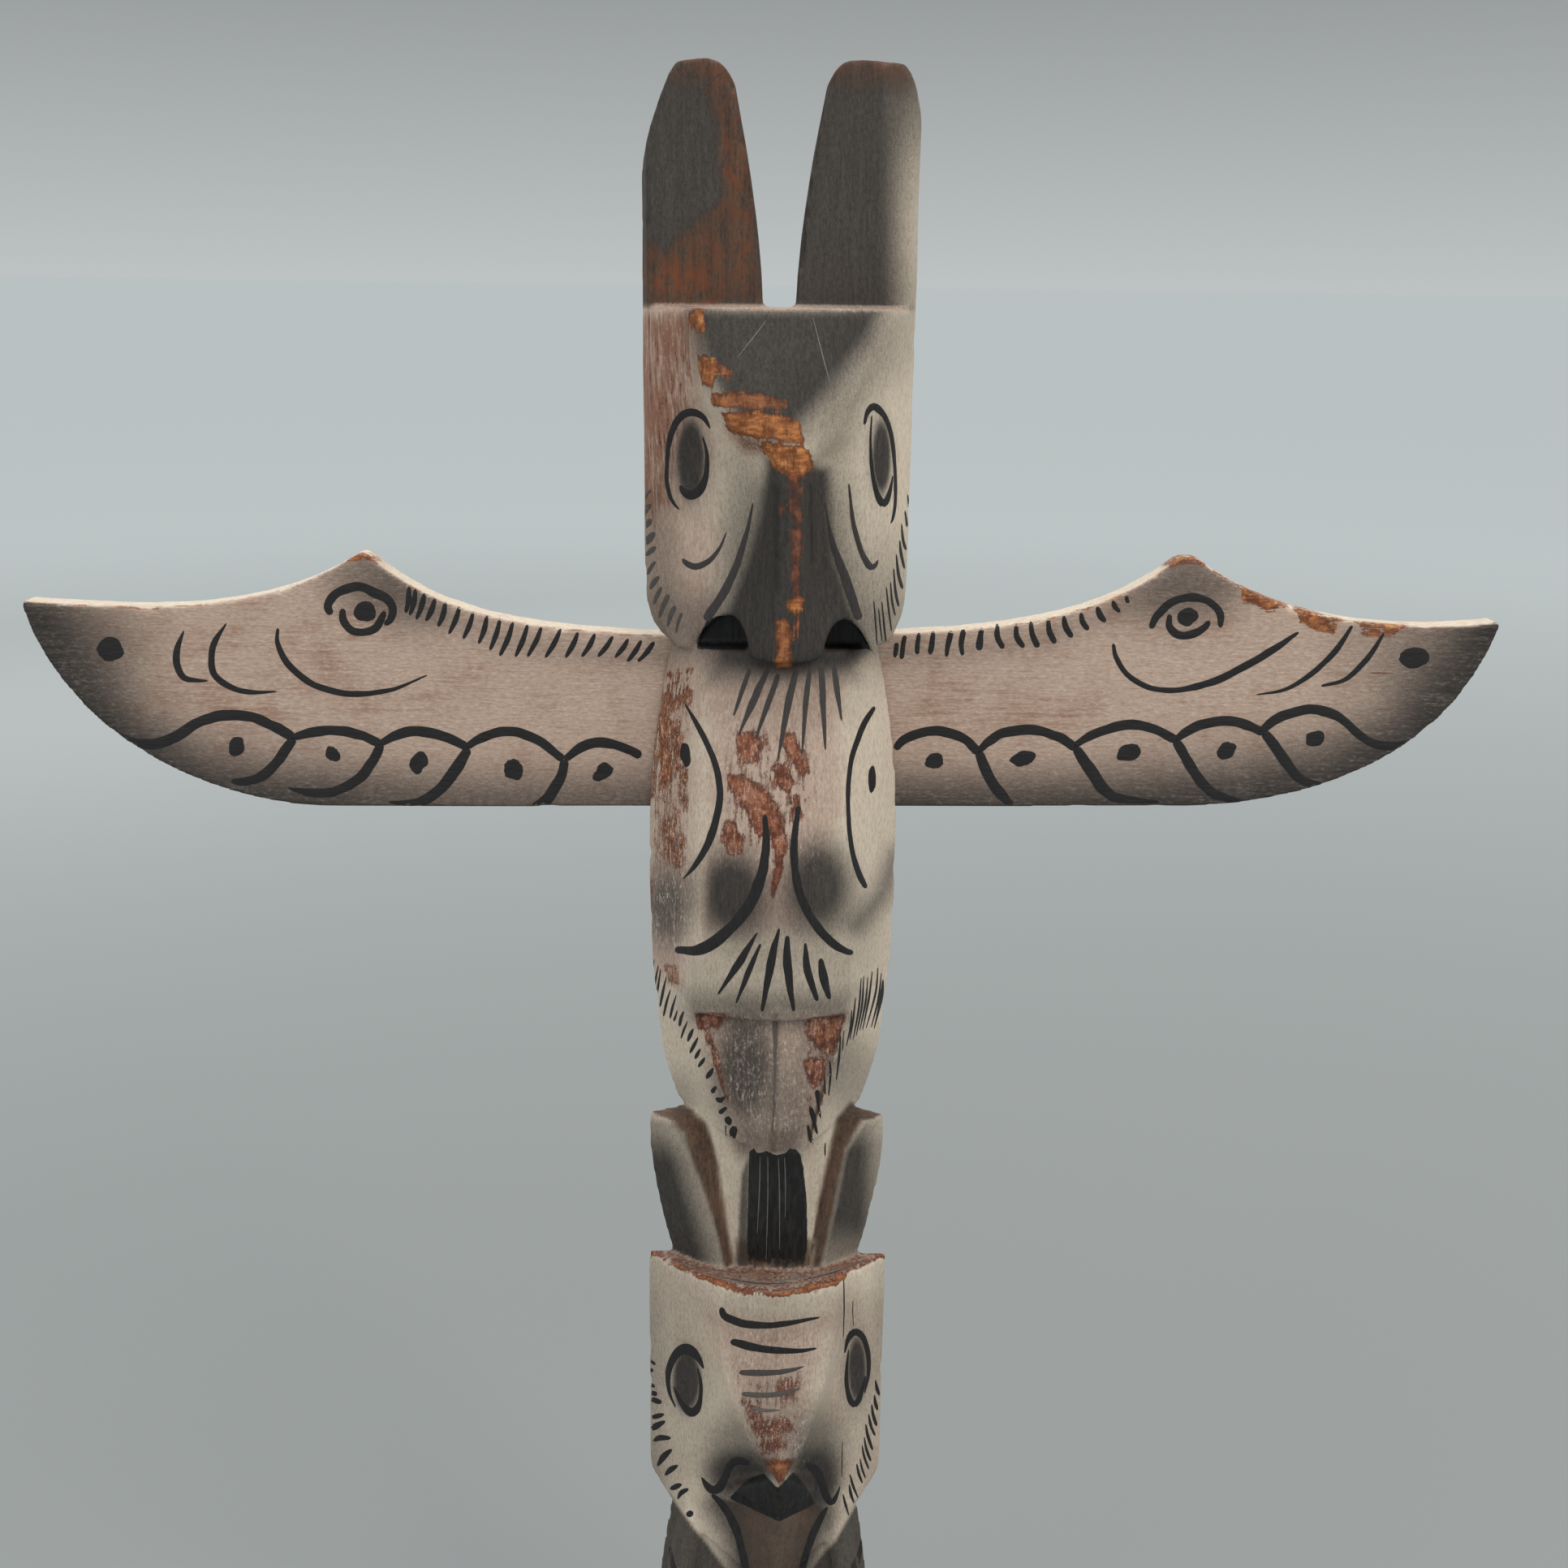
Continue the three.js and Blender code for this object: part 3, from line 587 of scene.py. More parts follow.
# thighs, wedge and tail
# the first oval darkens the left thigh beside the ear's top as painted shadow; the others are sprayed charcoal
soot_and_shade.oval(836, 1350, 24, 30, 0.3, 1.4).oval(1050, 1325, 36, 48, 0.4, 1.4).oval(1008, 1296, 40, 48, 0.36, 1.4)
soot_and_shade.oval(916, 1316, 40, 68, 0.8, 1.2).oval(920, 1330, 28, 62, 0.5, 1.3).oval(975, 1375, 26, 46, 0.5, 1.4)
soot_and_shade.shape([(905, 1390), (985, 1390), (985, 1425), (912, 1425)], 0.6, 14)
soot_and_shade.shape([(914, 1447), (924, 1419), (922, 1566), (907, 1566), (911, 1492)], 0.85, 3)
# lower ears
ear_left = 1 - smooth(-6, 6, outline_distance(px, py, [(796, 1358), (813, 1367), (832, 1384), (844, 1398), (854, 1427), (865, 1464), (877, 1495), (886, 1529), (892, 1566), (796, 1566)]))
ear_left = ear_left * (0.55 + 0.45 * smooth(1376, 1436, py)) * (0.55 + 0.45 * smooth(0, 34, line_distance(px, py, [(832, 1380), (844, 1398), (865, 1464), (886, 1529), (892, 1566)])))
soot_and_shade.add(ear_left * (Z > Z_LEDGE + 0.2), 0.98)
ear_right = 1 - smooth(-6, 6, outline_distance(px, py, [(1094, 1358), (1068, 1374), (1041, 1419), (1029, 1481), (1010, 1566), (1092, 1566)]))
ear_right = ear_right * (0.6 + 0.4 * smooth(1376, 1420, py)) * (1 - 0.5 * smooth(1056, 1090, px)) * (1 - 0.35 * smooth(1500, 1560, py))
soot_and_shade.add(ear_right * (Z > Z_LEDGE + 0.2), 0.97)
soot_and_shade.cut(1 - smooth(3, 14, line_distance(px, py, [(803, 1372), (824, 1374)])), 0.5)
# lower face
soot_and_shade.oval(846, 1700, 17, 40, 0.97, 0.55).oval(846, 1700, 32, 58, 0.3, 1.0)
soot_and_shade.oval(1056, 1687, 11, 40, 0.97, 0.55).oval(1056, 1687, 20, 54, 0.3, 1.0)
soot_and_shade.oval(902, 1790, 36, 44, 0.6, 1.4).oval(1004, 1786, 34, 50, 0.72, 1.4)
soot_and_shade.oval(914, 1816, 44, 30, 0.94, 0.9).oval(1004, 1820, 32, 38, 0.94, 0.9).oval(1001, 1834, 26, 24, 0.8, 0.8)
soot_and_shade.oval(812, 1600, 40, 90, 0.24, 1.6)
soot_and_shade.oval(950, 1614, 92, 32, 0.26, 1.5).oval(826, 1802, 32, 40, 0.3, 1.5).oval(812, 690, 32, 60, 0.24, 1.5)
soot_and_shade.oval(952, 1700, 54, 90, 0.16, 1.3).oval(952, 1740, 36, 50, 0.2, 1.3).shape([(880, 1410), (1020, 1410), (1008, 1560), (896, 1560)], 0.14, 14).shape([(941, 1800), (978, 1800), (961, 1834)], 0.6, 4)
soot_and_shade.oval(985, 1345, 36, 60, 0.2, 1.4)
soot_and_shade.oval(800, 1740, 18, 150, 0.4, 1.4)
soot_and_shade.oval(1086, 1640, 10, 100, 0.25, 1.6)
soot_and_shade.shape([(1022, 1600), (1100, 1590), (1096, 1840), (1040, 1840), (1010, 1740)], 0.2, 26)
left_side = [(760, 1800), (826, 1842), (832, 1851), (856, 1884), (873, 1904), (895, 1934), (908, 1985), (900, 2050), (872, 2100), (846, 2140), (832, 2200), (822, 2330), (600, 2330), (600, 1800)]
right_side = [(1150, 1800), (1066, 1838), (1058, 1846), (1046, 1869), (1028, 1900), (1014, 1914), (1000, 1934), (990, 1985), (996, 2050), (1012, 2100), (1036, 2140), (1048, 2200), (1056, 2330), (1250, 2330), (1250, 1800)]
shoulders = np.maximum(1 - smooth(-3, 3, outline_distance(px, py, left_side)), 1 - smooth(-3, 3, outline_distance(px, py, right_side)))
shoulders = shoulders * (Z < 92) * smooth(10, 40, Z)
soot_and_shade.add(shoulders, 0.93)
jaw_px = 1 - smooth(-4, 4, outline_distance(px, py, [(888, 1848), (912, 1850), (960, 1866), (1000, 1850), (1016, 1860), (1003, 1890), (988, 1935), (976, 2000), (958, 2052), (946, 2068), (936, 2050), (922, 1998), (914, 1932), (905, 1885)]))
jaw_px = jaw_px * (Z < 97)
soot_and_shade.line([(884, 1854), (900, 1884), (908, 1906), (914, 1940)], 17, 0.9, 42)
soot_and_shade.line([(1018, 1866), (1004, 1896), (994, 1932)], 17, 0.9, 42)

black = Area(px, py)
black.shape([(898, 1846), (922, 1822), (941, 1815), (958, 1834), (978, 1813), (993, 1832), (1005, 1853), (960, 1875)], 1.0, 4)
black.shape([(946, 590), (967, 590), (968, 735), (948, 735)], 0.52, 9).shape([(991, 590), (1005, 590), (1008, 700), (994, 700)], 0.5, 8)
black.shape([(923, 1419), (929, 1414), (934, 1421), (945, 1418), (955, 1423), (968, 1421), (972, 1415), (980, 1416), (986, 1422), (990, 1440), (994, 1480), (995, 1530), (994, 1566), (919, 1566), (921, 1500), (922, 1450)], 1.0, 3)
black.cut(smooth(1520, 1562, py) * (py < 1600), 0.5)
# black in the arches under the head: black paint, and painted shadow in the recess behind the head's lower edge
for pts in ([(858, 799), (866, 775), (872, 764), (889, 758), (907, 764), (918, 779), (923, 802)], [(1013, 799), (1020, 774), (1032, 761), (1042, 759), (1055, 765), (1074, 800)]):
    black.add((1 - smooth(-2, 3, outline_distance(px, py, pts))) * (D < 10) * (Z < 286), 1.0)

bare = Area(px, py)
bare.add(up * (Z > 60), 1.0)
bare.add(rusty, 0.95)
bare.add(horns * smooth(373, 379.5, Z), 0.7)
bare.shape([(822, 1374), (838, 1358), (853, 1369), (869, 1383), (877, 1404), (884, 1431), (889, 1466), (894, 1500), (900, 1533), (906, 1564), (892, 1564), (885, 1529), (876, 1495), (864, 1462), (852, 1427), (843, 1398)], 1.0, 4)
bare.shape([(1066, 1373), (1048, 1358), (1031, 1379), (1019, 1431), (1009, 1481), (1001, 1564), (1011, 1562), (1029, 1481), (1041, 1419)], 1.0, 4)
soot_and_shade.shape([(822, 1374), (838, 1358), (853, 1369), (869, 1383), (884, 1431), (894, 1500), (906, 1564), (892, 1564), (876, 1495), (852, 1427)], 0.36, 4)
soot_and_shade.shape([(1066, 1373), (1048, 1358), (1031, 1379), (1019, 1431), (1009, 1481), (1001, 1564), (1011, 1562), (1029, 1481), (1041, 1419)], 0.5, 4)
bare.line([(956, 1252), (955, 1330), (952, 1415)], 4, 0.6, 5)
bare.shape([(908, 1528), (1000, 1528), (1002, 1572), (904, 1572)], 0.95, 8)
bare.add(jaw_px, 0.85)
soot_and_shade.add(jaw_px, 0.58)
soot_and_shade.add(jaw_px * (1 - smooth(940, 972, px)), 0.3)
bare.add(horns * smooth(0.5, 0.8, np.abs(nrm[:, 0])) * (np.abs(X) < 11), 0.8)

wear = Area(px, py)
wear.add(edge, 0.3)
wear.add(edge * ledge_edge, 0.62)
for shape, amount in (
    # forehead, beak and drip
    ([(846, 382), (866, 382), (870, 400), (862, 412), (852, 404)], 0.8),
    ([(861, 440), (872, 436), (885, 446), (885, 462), (876, 478), (866, 474)], 1.0),
    ([(885, 448), (902, 456), (900, 468), (886, 464)], 0.75),
    ([(876, 485), (905, 482), (940, 486), (968, 494), (972, 503), (930, 505), (880, 504)], 0.95),
    ([(889, 508), (930, 506), (965, 510), (984, 522), (993, 548), (962, 545), (930, 540), (898, 532)], 0.98),
    ([(907, 540), (950, 545), (948, 560), (920, 556)], 0.28),
    ([(949, 560), (958, 548), (982, 546), (1000, 560), (1001, 578), (990, 586), (962, 582), (950, 574)], 1.0),
    ([(966, 580), (988, 580), (987, 606), (972, 604)], 0.85),
    ([(957, 620), (971, 618), (972, 634), (960, 637)], 0.7),
    ([(972, 604), (989, 604), (990, 660), (986, 735), (974, 735), (974, 660)], 0.72),
    ([(970, 740), (991, 735), (989, 752), (972, 753)], 1.0),
    ([(977, 752), (988, 752), (986, 790), (978, 790)], 0.7),
    ([(955, 766), (968, 762), (975, 780), (976, 822), (956, 824)], 1.0),
    # breast
    ([(908, 906), (926, 902), (938, 914), (934, 934), (916, 938), (910, 924)], 0.86),
    ([(966, 906), (976, 906), (990, 930), (997, 952), (988, 954), (976, 936), (966, 918)], 0.84),
    ([(951, 944), (968, 942), (978, 962), (972, 976), (956, 966)], 0.84),
    ([(897, 956), (918, 958), (944, 976), (962, 1004), (969, 1040), (964, 1076), (954, 1108), (950, 1104), (955, 1068), (952, 1030), (938, 1034), (926, 1012), (914, 990), (900, 972)], 0.92),
    ([(890, 1016), (904, 1012), (914, 1030), (912, 1052), (898, 1052), (891, 1036)], 0.8),
    ([(974, 982), (984, 980), (986, 1008), (976, 1010)], 0.66),
    # left side of the body
    ([(811, 880), (823, 878), (827, 962), (815, 970)], 0.66),
    ([(828, 890), (837, 890), (838, 952), (831, 948)], 0.5),
    ([(840, 944), (848, 946), (846, 1000), (840, 998)], 0.5),
    ([(817, 1012), (832, 1010), (830, 1066), (820, 1058)], 0.52),
    ([(798, 880), (806, 880), (805, 980), (799, 985)], 0.6),
    ([(836, 1030), (843, 1030), (838, 1076), (833, 1072)], 0.55),
    ([(815, 822), (858, 818), (852, 866), (818, 876)], 0.42),
    ([(797, 1085), (804, 1085), (803, 1130), (797, 1130)], 0.7),
    ([(815, 1185), (836, 1190), (840, 1215), (822, 1212)], 0.45),
    # wedge
    ([(855, 1248), (892, 1249), (886, 1262), (862, 1270)], 0.9),
    ([(868, 1276), (880, 1280), (895, 1332), (891, 1346), (884, 1328)], 0.82),
    ([(893, 1249), (948, 1252), (940, 1260), (898, 1262)], 0.42),
    ([(996, 1256), (1040, 1250), (1036, 1280), (1024, 1298), (1006, 1290), (994, 1272)], 0.84),
    ([(990, 1308), (1014, 1304), (1014, 1328), (1004, 1340), (994, 1326)], 0.84),
    ([(992, 1350), (1002, 1350), (1000, 1372), (993, 1372)], 0.66),
    ([(982, 1256), (1042, 1251), (1032, 1300), (1014, 1344), (996, 1348), (986, 1306)], 0.41),
    ([(858, 1250), (900, 1250), (892, 1276), (872, 1282)], 0.38),
    ([(985, 1380), (998, 1380), (992, 1412), (986, 1412)], 0.42),
    # snout
    ([(893, 1670), (1008, 1670), (1000, 1700), (986, 1750), (978, 1806), (940, 1806), (915, 1750), (900, 1700)], 0.3),
    ([(912, 1700), (982, 1700), (976, 1800), (940, 1800)], 0.16),
    ([(953, 1702), (984, 1692), (988, 1724), (960, 1728)], 0.3),
    ([(912, 1722), (934, 1726), (940, 1750), (922, 1748)], 0.4),
    ([(920, 1752), (972, 1748), (984, 1762), (930, 1770)], 0.46),
    ([(930, 1778), (962, 1772), (970, 1784), (938, 1792)], 0.44),
    ([(941, 1800), (978, 1800), (961, 1834)], 0.8),
    ([(900, 1860), (960, 1876), (962, 1960), (925, 1960)], 0.16),
):
    wear.shape(shape, amount, 7)
wear.shape([(797, 850), (856, 850), (850, 1060), (842, 1250), (797, 1200)], 0.3, 14)
wear.shape([(797, 858), (852, 858), (848, 1060), (812, 1080), (797, 1060)], 0.22, 18)
wear.shape([(786, 385), (862, 385), (858, 480), (836, 600), (818, 680), (790, 690)], 0.33, 18)
wear.shape([(846, 384), (872, 420), (906, 470), (985, 492), (1006, 560), (1000, 590), (940, 566), (884, 526), (858, 470)], 0.1, 10)
wear.shape([(936, 538), (964, 540), (962, 564), (942, 558)], 0.7, 8)
wear.shape([(885, 880), (1016, 890), (1005, 1060), (884, 1060)], 0.33, 26)
wear.shape([(892, 900), (1000, 900), (998, 1000), (966, 1050), (888, 1054)], 0.13, 16)

# paint left between the chips
wear.cut(1 - smooth(1, 4.5, line_distance(px, py, [(872, 504), (930, 506), (978, 508)])), 0.5)
wear.cut(1 - smooth(1, 4.5, line_distance(px, py, [(940, 541), (970, 546), (1004, 552)])), 0.5)

tint = Area(px, py)
tint.shape([(770, 380), (862, 380), (880, 560), (890, 700), (870, 800), (770, 800)], 0.5, 30)
tint.shape([(770, 380), (850, 380), (852, 470), (830, 620), (770, 660)], 0.88, 26)
tint.shape([(780, 800), (868, 800), (862, 880), (780, 890)], 0.26, 24)
tint.shape([(797, 815), (860, 815), (852, 1060), (842, 1220), (797, 1200)], 0.5, 16)
tint.shape([(868, 800), (1040, 800), (1035, 1000), (985, 1150), (868, 1150)], 0.6, 30)
tint.shape([(855, 1245), (1045, 1245), (1000, 1420), (905, 1420)], 0.5, 14)
tint.shape([(880, 1625), (1015, 1625), (1000, 1700), (985, 1800), (935, 1800), (905, 1720)], 0.6, 20)
tint.oval(860, 1620, 80, 60, 0.2, 1.5).shape([(896, 530), (950, 540), (950, 562), (916, 558)], 0.85, 9)
tint.shape([(1022, 1600), (1100, 1590), (1096, 1840), (1040, 1840), (1010, 1740)], 0.22, 26)

glow = Area(px, py)
glow.shape([(845, 375), (1005, 375), (1010, 600), (1000, 830), (945, 830), (935, 600), (845, 520)], 0.92, 14)
glow.cut(smooth(584, 596, py) * (1 - smooth(732, 740, py)), 0.9)
glow.cut(1 - smooth(-5, 5, outline_distance(px, py, [(884, 446), (906, 452), (976, 488), (974, 505), (880, 505), (880, 484)])), 0.5)
glow.cut(smooth(752, 762, py), 0.3)
glow.add(rusty, 0.45)
for x, y, rx, ry, amount in ((898, 205, 20, 48, 0.8), (832, 346, 34, 17, 0.85), (862, 325, 48, 40, 0.4), (912, 120, 14, 34, 0.5), (920, 290, 20, 50, 0.4)):
    glow.add(Area(px, py).oval(x, y, rx, ry, 1.0, 1.2).v * rusty, amount)
glow.shape([(938, 1796), (982, 1796), (960, 1838)], 0.4, 4)
glow.shape([(797, 860), (856, 860), (850, 1060), (842, 1250), (797, 1200)], 0.5, 14)
glow.add(ledge_edge * edge, 0.4)
glow.add(horns * smooth(374, 379.5, Z), 0.6)

chalk = Area(px, py)
chalk.shape([(855, 1246), (1046, 1250), (1035, 1310), (1000, 1400), (920, 1400), (880, 1310)], 0.5, 12)
chalk.shape([(890, 1640), (1012, 1640), (1000, 1700), (985, 1800), (940, 1800), (905, 1720)], 0.6, 14)
chalk.shape([(880, 885), (1010, 885), (1000, 1060), (880, 1060)], 0.46, 24)
chalk.shape([(797, 860), (862, 860), (856, 1060), (846, 1250), (797, 1200)], 0.75, 14)
brow_top = up * np.exp(-(((Z - Z_BROW) / 2.0) ** 2))
ledge_top = up * np.exp(-(((Z - Z_LEDGE) / 2.0) ** 2))
bare.cut(np.maximum(brow_top, ledge_top), 0.8)
tint.add(brow_top, 0.55).add(ledge_top, 0.9)
wear.add(ledge_top, 0.4)
soot_and_shade.cut(np.maximum(brow_top, ledge_top), 0.8)
soot_and_shade.add(ledge_top, 0.16)
chalk.cut(1 - smooth(-8, 8, outline_distance(px, py, [(936, 1798), (984, 1798), (961, 1840)])), 0.95)
chalk.add(brow_top, 0.7).add(ledge_top, 0.12)
wear.line([(868, 1574), (900, 1588), (930, 1597), (964, 1596), (996, 1588), (1022, 1580), (1040, 1573)], 4, 0.5, 8)
glow.line([(868, 1574), (930, 1597), (996, 1588), (1040, 1573)], 8, 0.3, 8)

areas = [soot_and_shade, wear, bare, tint, black, glow, chalk]
for area, values in zip(areas, pole.spread([a.v for a in areas], known | (Z < 58))):
    area.v = values

# what the camera doesn't see is plainer
hidden = 1 - pole.relaxed(known.astype(float), 2)
# the hidden insides of the arches are black: partly black paint, partly painted shadow
arch = (Z > Z_HEAD_BOTTOM - 0.9) & (Z < 285) & (D < 8) & (((X > -16) & (X < -4.2)) | ((X > 8.6) & (X < 18.8))) & ~known
black.cut(hidden, 0.9)
black.add(pole.relaxed(arch.astype(float), 1), 0.95)
# hidden surfaces behind the nose's outline are black: the nose's own black paint, and painted shadow in the mouth
# behind it
nose_black_and_shadow = (1 - smooth(-3, 5, outline_distance(px, py, [(894, 1846), (922, 1820), (960, 1830), (993, 1828), (1008, 1852), (1000, 1872), (960, 1892), (906, 1872)]))) * hidden * smooth(-0.2, 0.1, -nrm[:, 2]) * (Z > 60)
black.add(nose_black_and_shadow, 1.0)
chalk.cut(hidden, 0.6)
ear_wall = smooth(0.3, 0.6, -nrm[:, 0] * np.sign(X)) * (np.abs(X) > 8) * (Z > Z_LEDGE + 0.3) * (Z < 190)
bare.add(ear_wall, 1.0)
soot_and_shade.cut(ear_wall, 0.6)
soot_and_shade.add(ear_wall, 0.44)
low = 1 - smooth(54, 66, Z)
hollow_shade = smooth(0.02, 0.2, -pole.relaxed(ridge, 6))
tint.add(low, 0.3)
# painted shade in the lower body's hollows and corners
soot_and_shade.add(low * hollow_shade, 0.75)
soot_and_shade.add(low * smooth(15, 24, np.abs(X)), 0.6)
wear.add(low * smooth(0.56, 0.74, noise(pole.co, (5, 5, 12), 41, 2)), 0.4)
wear.add(low * edge, 0.2)
base_part = 1 - smooth(Z_BASE - 0.4, Z_BASE + 0.6, Z)
soot_and_shade.cut(base_part)
soot_and_shade.add(base_part, 0.92)
wear.add(edge * base_part, 0.4)
# painted shade on hidden undersides above the lower body
soot_and_shade.add(down * (Z > 60) * hidden, 0.75)
back = back * (1 - base_part)
bare.add(back, 1.0)
for area in (soot_and_shade, wear, black, glow, chalk):
    area.cut(back, 0.95)

for name, area in zip(FIELDS, areas):
    pole.paint(name, area.v)
deep = pole.relaxed((flat_back | flat_foot).astype(float), 3) > 0.999
pole.flatten(deep)
pole_piece = pole.finish("pole_carving", pole_paint)
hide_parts("pole")
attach(pole_piece, "root")

# ---- the wing board ------------------------------------------------------------------
wing = Relief("wing_board", WING_GRID)
wing_face = np.abs(wing.co[:, 1] - (BACK_Y + 0.05)) < 0.02
wing.co = wing.relaxed(wing.co, 2, 0.5)
wing.co[wing_face, 1] = BACK_Y + 0.05
w_ridge = wing.relaxed(np.clip(wing.convexity(), 0, None), 2)
wn = wing.normals()
w_chip = smooth(0.55, 0.8, noise(wing.co, (5, 4, 3), 21, 2)) * smooth(0.1, 0.3, w_ridge)
w_move = 0.14 * (noise(wing.co, (26, 7, 7), 23, 2) - 0.5) - 0.5 * w_chip
under = np.abs(wing.co[:, 0]) < 26
wing.co += wn * (w_move * ~(under & wing_face))[:, None]
wing.co[:, 1] = np.clip(wing.co[:, 1], BACK_Y + 0.03, None)
wn = wing.normals()
wing_tree = wing.tree()
wx, wy = to_frame(wing.co)
w_back = smooth(0.5, 0.9, wn[:, 1])
w_top_bare_and_highlight = smooth(0.5, 0.85, wn[:, 2])
w_down = smooth(0.5, 0.85, -wn[:, 2])

w_soot_and_shade = Area(wx, wy)
LEFT_LOW = [(24, 742), (70, 835), (150, 920), (250, 978), (345, 996), (480, 1000), (640, 1000), (800, 1000)]
RIGHT_LOW = [(1853, 770), (1815, 835), (1740, 918), (1640, 968), (1530, 990), (1400, 996), (1250, 998), (1100, 998)]
for low_edge, tip_on, floor_on in ((LEFT_LOW, 1 - smooth(300, 620, wx), 0.8), (RIGHT_LOW, smooth(1240, 1600, wx), 0.96)):
    d = np.clip(line_distance(wx, wy, low_edge) - 6, 0, None)
    w_soot_and_shade.add((1 - smooth(0, 74, d)) * (floor_on + (1 - floor_on) * tip_on), 0.95)
    w_soot_and_shade.add((1 - smooth(20, 120, d)) * (0.22 + 0.78 * tip_on), 0.5)
w_soot_and_shade.oval(84, 792, 96, 60, 0.6, 1.5).oval(1790, 800, 120, 70, 0.5, 1.5)
w_soot_and_shade.oval(462, 712, 60, 42, 0.62, 1.5).oval(510, 740, 50, 40, 0.5, 1.5)
w_soot_and_shade.oval(1475, 712, 70, 44, 0.62, 1.5).oval(1440, 740, 60, 40, 0.35, 1.5)
w_soot_and_shade.line([(520, 750), (620, 790), (720, 808), (830, 812)], 8, 0.42, 60).line([(1090, 806), (1200, 800), (1290, 785), (1420, 735)], 8, 0.42, 60)
w_soot_and_shade.cut(w_back).cut(w_top_bare_and_highlight, 0.95)
# painted shade on the wing board's undersides
w_soot_and_shade.add(w_down, 0.8)

w_wear = Area(wx, wy)
w_edge = smooth(0.1, 0.35, w_ridge)
w_wear.add(w_edge * (wn[:, 2] > 0.1), 0.28).add(w_edge, 0.15)
for shape, amount in (
    ([(1530, 724), (1580, 745), (1572, 756), (1530, 745)], 0.8),
    ([(1598, 750), (1650, 766), (1645, 784), (1600, 770)], 0.84),
    ([(1672, 766), (1734, 768), (1720, 786), (1676, 786)], 0.6),
    ([(1416, 696), (1450, 686), (1484, 687), (1488, 695), (1450, 697)], 0.7),
    ([(425, 688), (448, 680), (468, 684), (472, 691), (440, 694)], 0.6),
):
    w_wear.shape(shape, amount, 8)
for x0, x1, y in ((1680, 1716, 829), (1676, 1698, 841), (1704, 1728, 847), (1680, 1712, 859), (1690, 1722, 873)):
    w_wear.line([(x0, y), (x1, y + 1)], 2.5, 0.5, 6)
w_wear.cut(w_back)
w_bare = Area(wx, wy)
w_bare.add(w_back, 1.0)
w_tint = Area(wx, wy, 0.62)
w_tint.oval(300, 820, 260, 70, 0.2, 1.4).oval(1160, 860, 120, 60, 0.25, 1.4)
w_glow = Area(wx, wy)
# the board's top faces are paled: bare worn wood, and also a painted highlight where light from above falls on them
w_glow.add(w_top_bare_and_highlight, 1.0).add(w_edge * (wn[:, 2] > 0.1), 0.8)
w_glow.shape([(1420, 680), (1740, 680), (1740, 880), (1660, 880), (1420, 720)], 0.75, 12).shape([(410, 700), (448, 672), (490, 690), (480, 706)], 0.9, 8)
w_chalk_and_highlight = Area(wx, wy, 0.12)
w_chalk_and_highlight.add(w_top_bare_and_highlight, 0.55)
w_tint.cut(w_top_bare_and_highlight, 0.85)
w_glow.cut(w_back)
w_none = np.zeros(len(wx))
w_wear.add(w_top_bare_and_highlight, 0.14).add(w_top_bare_and_highlight * smooth(1400, 1460, wx) * (1 - smooth(1560, 1700, wx)), 0.35)
for name, values in zip(FIELDS, (w_soot_and_shade.v, w_wear.v, w_bare.v, w_tint.v, w_none, w_glow.v, w_chalk_and_highlight.v)):
    wing.paint(name, values)
wing_piece = wing.finish("wings_carving", wing_paint)
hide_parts("wing_board")
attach(wing_piece, "root")


